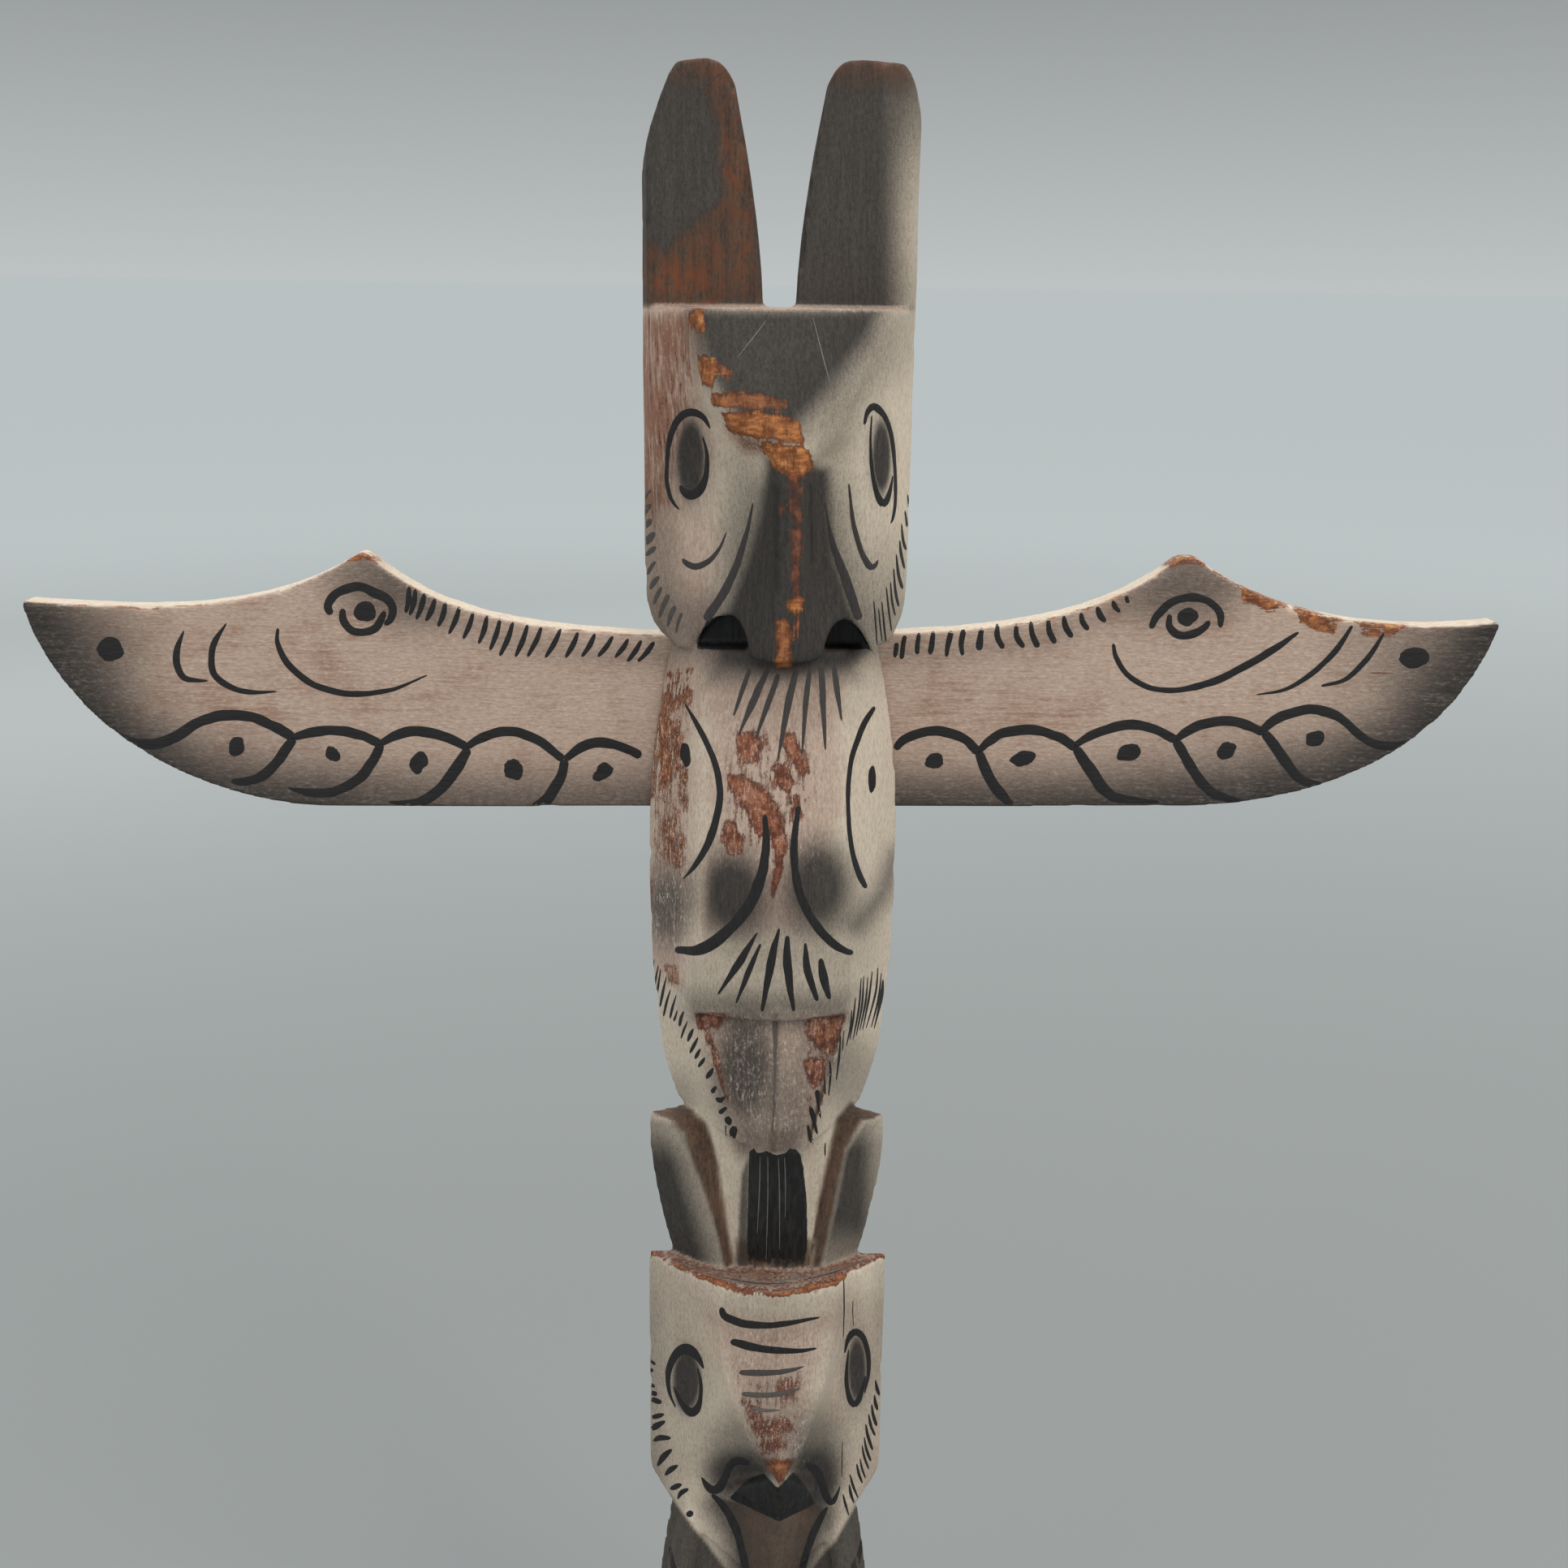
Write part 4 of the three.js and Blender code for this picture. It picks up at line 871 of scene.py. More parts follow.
# ---- brush lines ---------------------------------------------------------------------
class Brush:
    """Strokes laid on a carved surface, as thin as paint. Points are frame pixels, with the width third."""

    def __init__(self, tree, seed):
        self.tree = tree
        self.rng = np.random.default_rng(seed)
        self.points, self.faces, self.faded = [], [], []
        self.fade = 0.0
        self.broad = 1.0

    def land(self, px, py, lift):
        hit, normal, _, _ = self.tree.ray_cast(Vector(EYE), sight(px, py))
        if hit is None:
            return None
        return hit + normal * lift

    def grid(self, cells):
        """Joins neighbouring landed points that lie on one surface."""
        ids = []
        for row in cells:
            ids.append([])
            for p in row:
                if p is None:
                    ids[-1].append(None)
                else:
                    ids[-1].append(len(self.points))
                    self.points.append(p)
                    self.faded.append(self.fade)
        for a, b in zip(ids, ids[1:]):
            for j in range(len(a) - 1):
                q = (a[j], a[j + 1], b[j + 1], b[j])
                if None in q:
                    continue
                c = [self.points[k] for k in q]
                if max((c[k] - c[k - 1]).length for k in range(4)) < 2.6:
                    self.faces.append(q)

    def stroke(self, pts, wave=0.07, step=2.6):
        p = np.array(pts, float)
        if len(p) == 2:
            mid = (p[0] + p[1]) / 2
            mid[:2] += self.rng.normal(0, 0.5, 2)
            mid[2] *= 1.1
            p = np.array([p[0], mid, p[1]])
        ext = np.vstack([2 * p[0] - p[1], p, 2 * p[-1] - p[-2]])
        path = []
        for a, b, c, d in zip(ext, ext[1:], ext[2:], ext[3:]):
            for t in np.linspace(0, 1, 24, endpoint=False):
                path.append(
                    0.5 * (2 * b + (c - a) * t + (2 * a - 5 * b + 4 * c - d) * t**2 + (3 * b - a - 3 * c + d) * t**3)
                )
        path = np.array(path + [p[-1]])
        run = np.concatenate([[0], np.cumsum(np.linalg.norm(np.diff(path[:, :2], axis=0), axis=1))])
        n = max(7, int(run[-1] / step) + 1)
        s = np.linspace(0, run[-1], n)
        mid = np.stack([np.interp(s, run, path[:, k]) for k in (0, 1)], 1)
        wide = np.clip(np.interp(s, run, path[:, 2]) * self.broad, 0.6, None)
        tan = np.gradient(mid, axis=0)
        tan /= np.linalg.norm(tan, axis=1)[:, None] + 1e-9
        side = np.stack([-tan[:, 1], tan[:, 0]], 1)
        # rounded ends
        for k, r in ((0, s), (n - 1, run[-1] - s)):
            cap = max(wide[k] * 0.5, 0.8)
            wide = wide * np.sqrt(np.clip(1 - (1 - np.clip((r + 0.12 * cap) / cap, 0, 1)) ** 2, 0.02, 1))
        t = s / run[-1]
        knots = max(4, n // 4)
        wob = np.interp(t, np.linspace(0, 1, knots), 1 + self.rng.normal(0, wave, knots))
        wob2 = np.interp(t, np.linspace(0, 1, knots), 1 + self.rng.normal(0, wave, knots))
        cells = []
        for i in range(n):
            row = []
            for u in (-1.0, -0.6, 0.0, 0.6, 1.0):
                h = wide[i] / 2 * (wob[i] if u < 0 else wob2[i])
                q = mid[i] + side[i] * h * u
                row.append(self.land(q[0], q[1], 0.07 if abs(u) < 0.9 else 0.03))
            cells.append(row)
        self.grid(cells)

    def dab(self, x, y, rx, ry, turn=0.0, rough=0.08):
        rings, spokes = 4, 22
        wob = 1 + self.rng.normal(0, rough, spokes)
        wob = (wob + np.roll(wob, 1) + np.roll(wob, -1)) / 3
        c, s = math.cos(math.radians(turn)), math.sin(math.radians(turn))
        cells = []
        for r in range(rings + 1):
            row = []
            for k in range(spokes + 1):
                a = 2 * math.pi * k / spokes
                f = max(r / rings, 0.02) * wob[k % spokes]
                u, v = rx * f * math.cos(a), ry * f * math.sin(a)
                row.append(self.land(x + u * c - v * s, y + u * s + v * c, 0.07 if r < rings else 0.03))
            cells.append(row)
        self.grid(cells)

    def finish(self, name, material, slot, wear):
        at = np.array([tuple(p) for p in self.points])
        used = np.zeros(len(at), bool)
        for q in self.faces:
            used[list(q)] = True
        new = np.cumsum(used) - 1
        faces = []
        for q in self.faces:
            c = [self.points[k] for k in q]
            turn = (c[2] - c[0]).cross(c[3] - c[1])
            toward = Vector(EYE) - c[0]
            q = q if turn.dot(toward) > 0 else q[::-1]
            faces.append([int(new[k]) for k in q])
        at = at[used]
        mesh = bpy.data.meshes.new(name)
        mesh.from_pydata((at / 1000).tolist(), [], faces)
        mesh.polygons.foreach_set("use_smooth", [True] * len(mesh.polygons))
        mesh.update()
        mesh.materials.append(material)
        values = {f: np.zeros(len(at)) for f in FIELDS}
        values["black"] = np.array(self.faded)[used]
        values["wear"] = wear(at)
        for field in FIELDS:
            a = mesh.attributes.new(field, "FLOAT", "POINT")
            a.data.foreach_set("value", np.clip(values[field], 0, 1).astype(np.float32))
        made = bpy.data.objects.new(name, mesh)
        scene.collection.objects.link(made)
        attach(made, "root")
        return made


def along(pts, n):
    p = np.array(pts, float)
    run = np.concatenate([[0], np.cumsum(np.linalg.norm(np.diff(p, axis=0), axis=1))])
    s = np.linspace(0, run[-1], n)
    return [tuple(float(np.interp(v, run, p[:, k])) for k in range(p.shape[1])) for v in s]


b = Brush(pole_tree, 7)
# the bird's eyes
b.stroke([(875, 528, 2), (869, 517, 6), (861, 510, 9), (850, 508, 10.5), (839, 513, 10), (829, 529, 8), (823.5, 551, 6), (821.3, 588, 5), (825, 609, 5), (830, 620, 4), (837, 628, 1.6)])
b.stroke([(866, 538, 2), (871, 560, 4.5), (870, 585, 7), (862, 604, 11), (851, 610, 12), (842, 605, 8), (838, 598, 3)])
b.stroke([(1065, 523, 3), (1068.5, 509, 6), (1076, 501, 9), (1085, 507, 8), (1093, 520, 6), (1099, 541, 5), (1102.4, 575, 4.2), (1103.4, 602, 4.2), (1102.7, 623, 4), (1100.2, 638, 3.4), (1097.4, 645, 1.6)])
b.stroke([(1074, 512, 2), (1072.5, 545, 3), (1074.5, 580, 4.5), (1079, 603, 6), (1085, 618, 8.5), (1090, 620, 8.5), (1095, 610, 6), (1098.5, 595, 3), (1100, 586, 1.5)])
# smiles, and the lines beside the beak
b.fade = 0.15
b.stroke([(841, 688.5, 4), (846, 694, 7), (855, 698, 8), (864, 696.5, 8), (876, 689, 6.5), (887, 675, 4), (895, 656, 1.4)])
b.stroke([(1046, 596, 2.4), (1048.7, 623, 4), (1051.6, 645, 5.5), (1057.4, 668, 6.5), (1064.7, 687.5, 7.5), (1072, 698, 8), (1078.5, 696.5, 5), (1081.7, 690, 1.6)])
b.fade, b.broad = 0.16, 0.95
b.stroke([(927.5, 620, 1.6), (922, 648, 5), (914, 676.6, 8), (906, 701, 10), (894, 726, 11), (881, 747, 12), (869, 764, 10)])
b.stroke([(1016.7, 620, 1.6), (1021.6, 648, 4), (1027, 672.5, 8), (1037.3, 701, 11), (1047.6, 730, 12), (1059, 763, 11)])
# ticks round the edge of its face
b.fade, b.broad = 0.3, 1.0
for t in (
    [(802, 604, 3), (794, 614.5, 4)], [(801.7, 621, 5), (795.5, 628.5, 7.5), (792, 636, 5)],
    [(803, 640, 5), (798, 644.5, 8.5), (792.6, 651, 6)], [(806.8, 656, 5), (801, 662.6, 8.5), (794, 671, 6)],
    [(808, 673.5, 4), (802.4, 678.5, 6.5), (796, 684.4, 4)], [(807.5, 692, 3.4), (802.4, 699, 5.5), (797.4, 708, 4)],
    [(812, 710, 4), (807, 716.3, 6.5), (801, 725.7, 4)], [(815, 723.5, 4), (809.7, 733.7, 5.5), (805.3, 745, 3)],
    [(823.5, 732.3, 5), (817.7, 745.3, 6.5), (812, 761, 3)], [(832.2, 747, 6), (826.4, 758.4, 6), (822.7, 772, 3)],
    [(840.2, 755.5, 4), (835.8, 767, 4), (833, 780, 2)],
):
    b.stroke(t)
b.fade = 0.0
for t in (
    [(1118.1, 609, 1.6), (1120, 627, 2.4)], [(1115, 629.4, 2), (1117.4, 649, 3)],
    [(1110.7, 645.3, 1.6), (1112.6, 664.2, 3.2), (1116, 677.5, 3.6)], [(1108.5, 665.6, 1.6), (1110.4, 683, 3.6), (1114.3, 700.5, 3)],
    [(1104.3, 683, 1.6), (1106.8, 706.3, 3.8), (1112, 725.2, 4)], [(1101, 700.5, 1.6), (1103.1, 728, 3.2), (1107.2, 747, 3)],
    [(1097, 717.2, 1.4), (1099.2, 741.1, 2.8), (1102.9, 758.5, 2)], [(1092, 723, 1.4), (1094.9, 751.3, 2.4), (1098.4, 777.4, 1.6)],
    [(1086.5, 741.1, 1.4), (1089.1, 768.7, 2.4), (1091.5, 792, 1.6)], [(1082.5, 749.8, 1.4), (1084.3, 768.7, 2), (1086.7, 789.8, 1.4)],
    [(1076.6, 740.4, 1.4), (1078.5, 764.3, 2), (1080.6, 794.8, 1.4)],
):
    b.stroke(t)
# cracks in the horns
b.fade = 0.25
b.stroke([(894, 86, 0.8), (878, 98, 1.5), (862, 114, 1.5), (850, 136, 1.2), (836, 165, 0.7)])
b.stroke([(841, 322, 0.8), (842, 334, 2.2), (842.5, 352, 0.8)])
b.stroke([(814, 120, 0.7), (809, 170, 1.1), (807, 250, 0.7)])
# scratches across the forehead
b.fade = 1.0
b.stroke([(944, 395, 0.8), (928, 416, 1.4), (909, 440, 0.8)])
b.stroke([(1001, 389, 0.8), (1013, 436, 1.5), (1027, 488, 0.8)])
b.fade = 0.0
# breast feathers
b.fade = 0.15
for t in (
    [(924, 824, 5), (915, 850, 6), (904, 882, 2)], [(946, 824, 7), (929, 862, 9), (910, 906, 2)],
    [(959, 831, 6), (946, 868, 7), (931, 911, 2)], [(981, 826, 7), (971, 868, 9), (958, 938, 1.6)],
    [(998, 824, 5), (993, 864, 7), (988.4, 929, 1.6)], [(1012, 816, 6), (1013.6, 860, 8), (1017, 924, 2)],
    [(1026, 814, 4), (1031, 848, 7), (1037, 888, 2)],
):
    b.stroke(t)
b.fade = 0.0
b.stroke([(844, 867, 1.6), (862, 898, 6.5), (878, 932, 7.5), (887, 968, 8), (884, 1004, 9), (872, 1040, 9), (856, 1067, 6), (842, 1083, 1.6)])
b.stroke([(1077.5, 871, 5), (1064, 894, 7), (1050, 932, 6), (1045, 972, 5.5), (1046, 1016, 5.5), (1050, 1048, 6), (1058, 1076, 7.5), (1067, 1094, 6)])
b.dab(845, 931, 6, 15, -5, 0.14)
b.dab(1074, 960, 4.6, 17, 0, 0.1)
b.stroke([(942.5, 1004, 6), (944, 1040, 10), (938.5, 1078, 13), (924, 1114, 14), (900, 1144, 14), (876, 1163, 14), (857, 1171, 12), (832, 1170, 8)])
b.stroke([(984, 993, 6), (978.5, 1036, 9), (979.5, 1072, 10), (988, 1108, 10.5), (1006, 1140, 11), (1026, 1162, 10.5), (1042, 1172, 8), (1051, 1174, 6)])
for t in (
    [(933, 1149, 2), (912, 1184, 9.5), (885, 1225, 2.5)], [(937, 1163, 3), (922, 1198, 7.5), (907, 1236, 2.5)],
    [(960, 1144, 3), (950.5, 1184, 10), (939, 1246, 4)], [(970, 1153, 5), (970.5, 1192, 10.5), (978, 1246, 4)],
    [(992, 1162, 3), (995, 1196, 9.5), (1007, 1233, 5)], [(1011, 1181, 6), (1015, 1204, 10), (1022, 1231, 5)],
):
    b.stroke(t)
# fine side feathers
for t in (
    [(806.1, 1182, 1), (803.6, 1201, 2.6), (802.6, 1217, 2)], [(811.4, 1188.6, 1), (807, 1211.8, 3), (804, 1231.4, 2)],
    [(814.1, 1193.9, 1), (810.5, 1217.1, 3), (807, 1235, 2.4)], [(821.3, 1202.9, 1), (816.8, 1222.5, 3.4), (813.2, 1240.4, 2.4)],
    [(826.3, 1218.9, 1), (821.3, 1235, 3), (817.7, 1252, 2.4)], [(833.2, 1226.1, 1), (828.4, 1242.1, 3.4), (825.7, 1254.6, 2.4)],
    [(834.6, 1244.8, 1.6), (830.2, 1258.2, 2.6)], [(842.7, 1245.7, 2), (839.1, 1254.6, 4), (837.3, 1264.5, 3)],
    [(847.1, 1258.2, 1), (842.7, 1268.9, 3), (839.1, 1279.6, 2)], [(854.3, 1267.1, 2), (850.7, 1275.2, 5), (847.5, 1283.2, 3)],
    [(860.2, 1277.9, 1.4), (855.2, 1287.7, 4.6), (850.2, 1297.5, 3)], [(863.2, 1292.1, 2), (859.6, 1298.4, 4.6), (856.4, 1304.6, 3)],
    [(868.6, 1302.9, 2), (865, 1308.2, 4.6), (860.5, 1314.5, 3)], [(878.9, 1315.4, 2), (874.8, 1322.5, 6.5), (870.4, 1328.8, 4)],
    [(882.5, 1338.6, 4), (877.5, 1346.6, 6)], [(893.2, 1350.2, 3), (888.2, 1356, 6.5), (882, 1352.9, 4)],
    [(895.7, 1364.5, 4), (886.4, 1371.6, 6)], [(894.5, 1386, 1.6), (894.5, 1399, 1.2)],
):
    b.stroke(t)
b.dab(897.5, 1381, 4.5, 5.5, 0, 0.15)
b.dab(903.4, 1396, 5, 8.5, 0, 0.15)
for t in (
    [(1088, 1207, 2), (1085.6, 1230, 4), (1077, 1267.6, 1)], [(1086, 1198.4, 1), (1082.3, 1230.3, 2.6), (1073.4, 1265.8, 1)],
    [(1081.7, 1192.2, 1), (1078.7, 1223.2, 2.8), (1067.2, 1266.7, 1)], [(1074.8, 1196.6, 1), (1070.7, 1228.6, 2.6), (1062.7, 1269.4, 1)],
    [(1069.3, 1203.7, 1), (1066.3, 1235.6, 2.6), (1059.2, 1269.4, 1)], [(1064.2, 1202.8, 1), (1061.9, 1239.2, 2.8), (1054.8, 1276.5, 1)],
    [(1061, 1204.6, 1), (1058.3, 1241, 2.6), (1051.2, 1280.9, 1)], [(1054.2, 1228.6, 1), (1051.2, 1255.2, 2.4), (1047.1, 1280.9, 1)],
    [(1049.4, 1244.5, 1), (1047.7, 1265.8, 2.2), (1042.9, 1288.9, 1)], [(1039.7, 1269.4, 1), (1037.9, 1294.2, 1.6)],
    [(1035.8, 1276.5, 1), (1033.5, 1304.8, 2.8), (1030.5, 1330.6, 1.2)], [(1022.3, 1306.6, 1.4), (1023.2, 1322.6, 2.8), (1021, 1350.1, 1.2)],
    [(1015.7, 1326.1, 1.4), (1016.6, 1348.3, 2)], [(1006.5, 1343, 6), (1007.4, 1350, 6), (1008.6, 1361.6, 3.4), (1010.9, 1377.6, 2)],
    [(998.9, 1364, 5), (1000.5, 1372, 6), (1003.3, 1383, 4.6), (1006.9, 1397.1, 3)], [(995.3, 1385.6, 3), (998, 1398.9, 5), (1001, 1410.4, 3)],
    [(1017, 1407.8, 1.4), (1016.6, 1424, 1.8)],
):
    b.stroke(t)
# the joint down the wedge, and the tail's feathers
b.fade = 0.5
b.stroke([(955, 1256, 7), (955, 1272, 5), (955, 1310, 3), (954, 1350, 2.4), (952, 1396, 1)])
b.fade = 1.0
b.stroke([(946.5, 1296, 0.8), (946, 1340, 1.5), (944, 1404, 0.8)])
b.fade = 0.72
for x0, y0, x1, y1 in ((936.5, 1424, 933, 1520), (946, 1424, 944, 1552), (959, 1426, 960.5, 1540), (966.5, 1426, 967.5, 1500)):
    b.stroke([(x0, y0, 0.7), (x0 * 0.6 + x1 * 0.4 + 0.8, y0 * 0.6 + y1 * 0.4, 1.3), (x1, y1, 0.7)])
b.fade = 0.0
# torn fibres along the ledge
for shade, lines in ((0.95, ([(838, 1556), (880, 1566), (930, 1572), (985, 1571)], [(866, 1570), (910, 1580), (958, 1584), (1004, 1577)], [(905, 1575), (950, 1579), (1000, 1572), (1050, 1560)], [(930, 1590), (958, 1592), (984, 1588)])), (0.3, ([(826, 1551), (862, 1562), (905, 1569)], [(884, 1573), (930, 1581), (975, 1581)], [(990, 1577), (1030, 1567), (1066, 1553)]))):
    b.fade = shade
    for pts in lines:
        b.stroke([(x, y, 0.7 if n in (0, len(pts) - 1) else 1.5) for n, (x, y) in enumerate(pts)])
b.fade = 0.0
# the lower animal's forehead
b.stroke([(888.3, 1611, 6), (893.5, 1621.5, 9), (914, 1630, 9.5), (941, 1633, 8.5), (972, 1630, 6.5), (1009.5, 1623.2, 2.4)])
b.stroke([(900.3, 1652.8, 8), (917.8, 1657.5, 10), (945, 1662.5, 9), (980, 1664.5, 6), (1006, 1661.4, 2.4)])
b.fade = 0.28
b.stroke([(911, 1691, 6), (933, 1691.7, 8), (956.7, 1691, 7), (976, 1687.8, 5), (990.5, 1683.5, 1.6)])
b.fade = 0.42
b.stroke([(914, 1717, 5), (933.4, 1719, 7), (956.7, 1718, 6), (976, 1714, 4), (986.5, 1710.6, 1.6)])
b.fade = 0.6
b.stroke([(925, 1734.5, 3), (941, 1737.6, 5), (961, 1737.4, 2)])
b.fade = 0.0
# its eyes
b.stroke([(867, 1686.5, 2), (861, 1674, 7.5), (852, 1664.4, 12), (843, 1662, 14), (833.5, 1668, 11), (826.4, 1681, 8.5), (823, 1698.8, 6), (825.3, 1717, 4), (832.4, 1734, 1.6)])
b.stroke([(859.6, 1685, 1.6), (863.2, 1702.8, 4), (862.6, 1725, 5.5), (857, 1737.5, 10), (849.8, 1739.5, 10.5), (839.7, 1728.6, 6), (833.6, 1717, 4), (829.9, 1707.9, 1.5)])
b.stroke([(1040.6, 1667, 2), (1044.2, 1652, 5.5), (1050, 1643, 8), (1056.5, 1641.8, 9), (1064.5, 1650.5, 7.5), (1070, 1672.2, 6), (1069.5, 1695.6, 4), (1065.2, 1717, 1.6)])
b.stroke([(1045.4, 1663, 1.6), (1043, 1691.7, 4.6), (1044.2, 1713, 6), (1050.8, 1729.6, 8), (1057.8, 1725, 7), (1063.7, 1708, 4), (1066.4, 1695, 1.6)])
# mouth and jaw
b.stroke([(864.3, 1820, 1.6), (871.2, 1830.8, 8), (878.3, 1835.9, 10), (886.4, 1832.8, 11), (893.5, 1820.6, 9), (898.6, 1807.4, 9), (906.7, 1800.3, 9), (916.9, 1801.3, 8), (923, 1804, 4)])
b.stroke([(994, 1803, 6), (1004.6, 1812, 12), (1012, 1824.8, 10), (1016.9, 1840.2, 9), (1023, 1850.6, 9), (1028.3, 1847.6, 6), (1033, 1837, 2.6), (1035, 1831, 1)])
b.stroke([(877, 1841.6, 5), (886.4, 1850, 8), (896.6, 1863.3, 9.5), (905.7, 1881.6, 9.5), (912.8, 1903.9, 9), (918.9, 1932, 8), (923, 1975, 3)])
b.stroke([(1019.5, 1857, 3), (1012, 1869, 7), (1003, 1888, 9), (996, 1906, 9), (989.5, 1930, 8), (983, 1972, 3)])
for t in (
    [(799.4, 1675.4, 3), (807.6, 1681.5, 3.4)], [(799.6, 1687, 4), (804.8, 1689.6, 4.5)], [(800, 1703.2, 4), (806.8, 1708.9, 3.6)],
    [(799.8, 1716, 5), (809.6, 1718.4, 6)], [(800.7, 1723, 5), (808, 1725.6, 7), (815.3, 1728.2, 5)],
    [(801, 1747, 4), (810, 1744.6, 6.4), (818.4, 1742.4, 3)], [(800.9, 1761.2, 6), (810, 1756, 8), (819.8, 1751, 3)],
    [(805.2, 1775.6, 3), (813, 1771.6, 7), (826.5, 1771.9, 4)], [(810.2, 1806.4, 2.6), (817.3, 1795.2, 7.5), (827.9, 1785.7, 4)],
    [(819.4, 1817.6, 3), (826, 1811.3, 7), (835.2, 1805.4, 3)], [(825.9, 1834.8, 4), (832.6, 1831.8, 7), (840, 1828.8, 4)],
    [(835, 1847, 2), (839.7, 1838.9, 6), (848.2, 1834.4, 4)],
):
    b.stroke(t)
b.dab(849.8, 1865.3, 4.6, 3.8, -20, 0.1)
for t in (
    [(1078.6, 1700, 1.6), (1080.4, 1709.9, 4), (1083.3, 1719.1, 3.4)], [(1077.4, 1718.3, 1.6), (1078.5, 1728.3, 4), (1081.2, 1737.5, 3.4)],
    [(1073.9, 1729.8, 1.6), (1075.9, 1743.6, 4), (1080, 1756.7, 4)], [(1070.2, 1742.1, 1.6), (1072.8, 1755.9, 3.6), (1078.1, 1768.9, 3)],
    [(1066.7, 1754.4, 1.6), (1069.3, 1769.7, 4), (1075.1, 1786.5, 3)], [(1064.7, 1770.4, 1.4), (1067.4, 1785, 3.2), (1072.8, 1800.3, 2.6)],
    [(1062.1, 1780.4, 1.4), (1065.1, 1795.7, 3.2), (1070.5, 1810.3, 2.4)], [(1059.8, 1797.3, 1.2), (1062.1, 1809.5, 2.6), (1066.2, 1821, 2)],
    [(1055.5, 1803.4, 1.6), (1058.2, 1815.7, 3.2), (1062.5, 1827.1, 2.4)], [(1047.2, 1816.4, 1.6), (1051.3, 1831, 3.2), (1057, 1845.5, 2)],
    [(1046.3, 1828.7, 1.6), (1048.3, 1840.2, 3.8), (1052.1, 1851.7, 2.6)], [(1038.6, 1840.9, 1.4), (1041.4, 1852.4, 3.2), (1045.7, 1867, 1.6)],
):
    b.stroke(t)
b.stroke([(825.3, 1906, 3), (827.5, 1920, 5), (832, 1937, 6), (842, 1965, 4), (852, 1985, 1.6)])
b.stroke([(1062, 1892, 2), (1059.4, 1912, 5), (1052, 1934, 8), (1042, 1960, 5), (1034, 1980, 1.6)])
# claws, knees and toes of the lower animal
for flip in (False, True):
    for t in (
        [(895, 2074, 1.5), (904, 2071, 3.8), (913, 2068, 3.2)],
        [(895, 2084, 1.5), (904, 2081, 4), (914, 2078, 3.2)],
        [(895, 2093, 1.5), (904, 2090, 3.8), (913, 2088, 3.2)],
        [(820, 2123, 1.6), (836, 2116, 4.5), (853, 2117, 6), (870, 2129, 6.5), (883, 2151, 6), (888, 2172, 4.5), (890, 2192, 1.8)],
        [(860, 2228, 1.5), (859, 2240, 4), (858, 2252, 2.6)],
        [(872, 2230, 1.5), (872, 2243, 4.2), (872, 2257, 2.6)],
        [(884, 2228, 1.5), (885, 2240, 4), (886, 2252, 2.6)],
    ):
        b.stroke([(1876 - x, y + 1.5, w) for x, y, w in t] if flip else t)
# drying cracks
b.stroke([(1039.5, 1573, 1.4), (1040, 1610, 1.6), (1039, 1648, 0.8)])
b.stroke([(1051, 1602, 1), (1051.5, 1634, 0.8)])
b.stroke([(1038, 1776, 0.8), (1037.5, 1800, 1.2), (1037, 1820, 0.8)])


def pole_loss(at):
    u, v = to_frame(at)
    w = Area(u, v)
    w.shape([(893, 1640), (1010, 1640), (1000, 1700), (986, 1750), (978, 1806), (940, 1806), (915, 1750), (900, 1700)], 0.22, 8)
    w.shape([(905, 953), (971, 958), (967, 1035), (903, 1030)], 0.2, 10)
    return w.v


pole_lines = b.finish("brush_lines", pole_ink, "painted_cedar", pole_loss)

# ---- brush lines on the wings --------------------------------------------------------
b = Brush(wing_tree, 11)
b.broad = 1.12
b.dab(136, 800, 16, 15, 0, 0.13)
b.stroke([(226.5, 777, 1.6), (219, 798, 7), (218, 818, 8), (226, 834, 7), (240, 838, 5), (256, 839, 2)])
b.stroke([(279, 768, 1.6), (265, 790, 6.5), (260.5, 812, 7.5), (265, 832, 7.5), (285, 847, 6.5), (310, 853, 5), (341, 852, 1.6)])
b.stroke([(342.5, 774, 3), (342, 793, 5.5), (355, 818, 7), (380, 840, 7), (412, 852, 7), (445, 855, 6.5), (485, 849, 4.5), (526, 832, 1.4)])
b.stroke([(408, 757, 7), (404, 746, 9), (413, 732, 10), (430, 725, 10), (447, 724, 10), (463, 731, 11), (477, 738, 10), (484, 749, 9), (482, 762, 8), (474, 770, 5)])
b.stroke([(422, 750, 6), (423, 764, 9), (432, 776, 9), (447, 779, 8.5), (462, 774, 9), (470, 762, 8), (474, 753, 5)])
b.dab(449, 753, 13.5, 12, 0, 0.12)
for i, (xt, yt, xb, yb) in enumerate((
    (504, 723, 500, 755), (512, 726, 505, 758), (523, 731, 513, 763), (536, 738, 525, 765), (549, 742, 540, 772),
    (566, 748, 553, 781), (583, 754, 571, 787), (600, 759, 590, 793), (616, 763, 604, 801), (632, 767, 616, 808),
    (650, 770, 635, 809), (667, 773, 650, 809), (691, 775, 672, 810), (712, 779, 697, 810), (733, 781, 717, 809),
    (755, 784, 737, 809), (774, 787, 758, 810), (790, 789, 773, 815), (806, 791, 786, 815),
)):
    w = 6.5 if i < 5 else 6
    b.stroke([(xt, yt, w * 0.6), ((xt + xb) / 2 + 1.5, (yt + yb) / 2, w), (xb, yb, w * 0.55)])
b.broad = 1.18
b.stroke([(146, 906, 6), (165, 915, 10), (190, 917, 11), (215, 908, 11), (240, 893, 11), (262, 884, 11), (285, 881, 11), (312, 884, 11), (338, 895, 11), (362, 909, 10)])
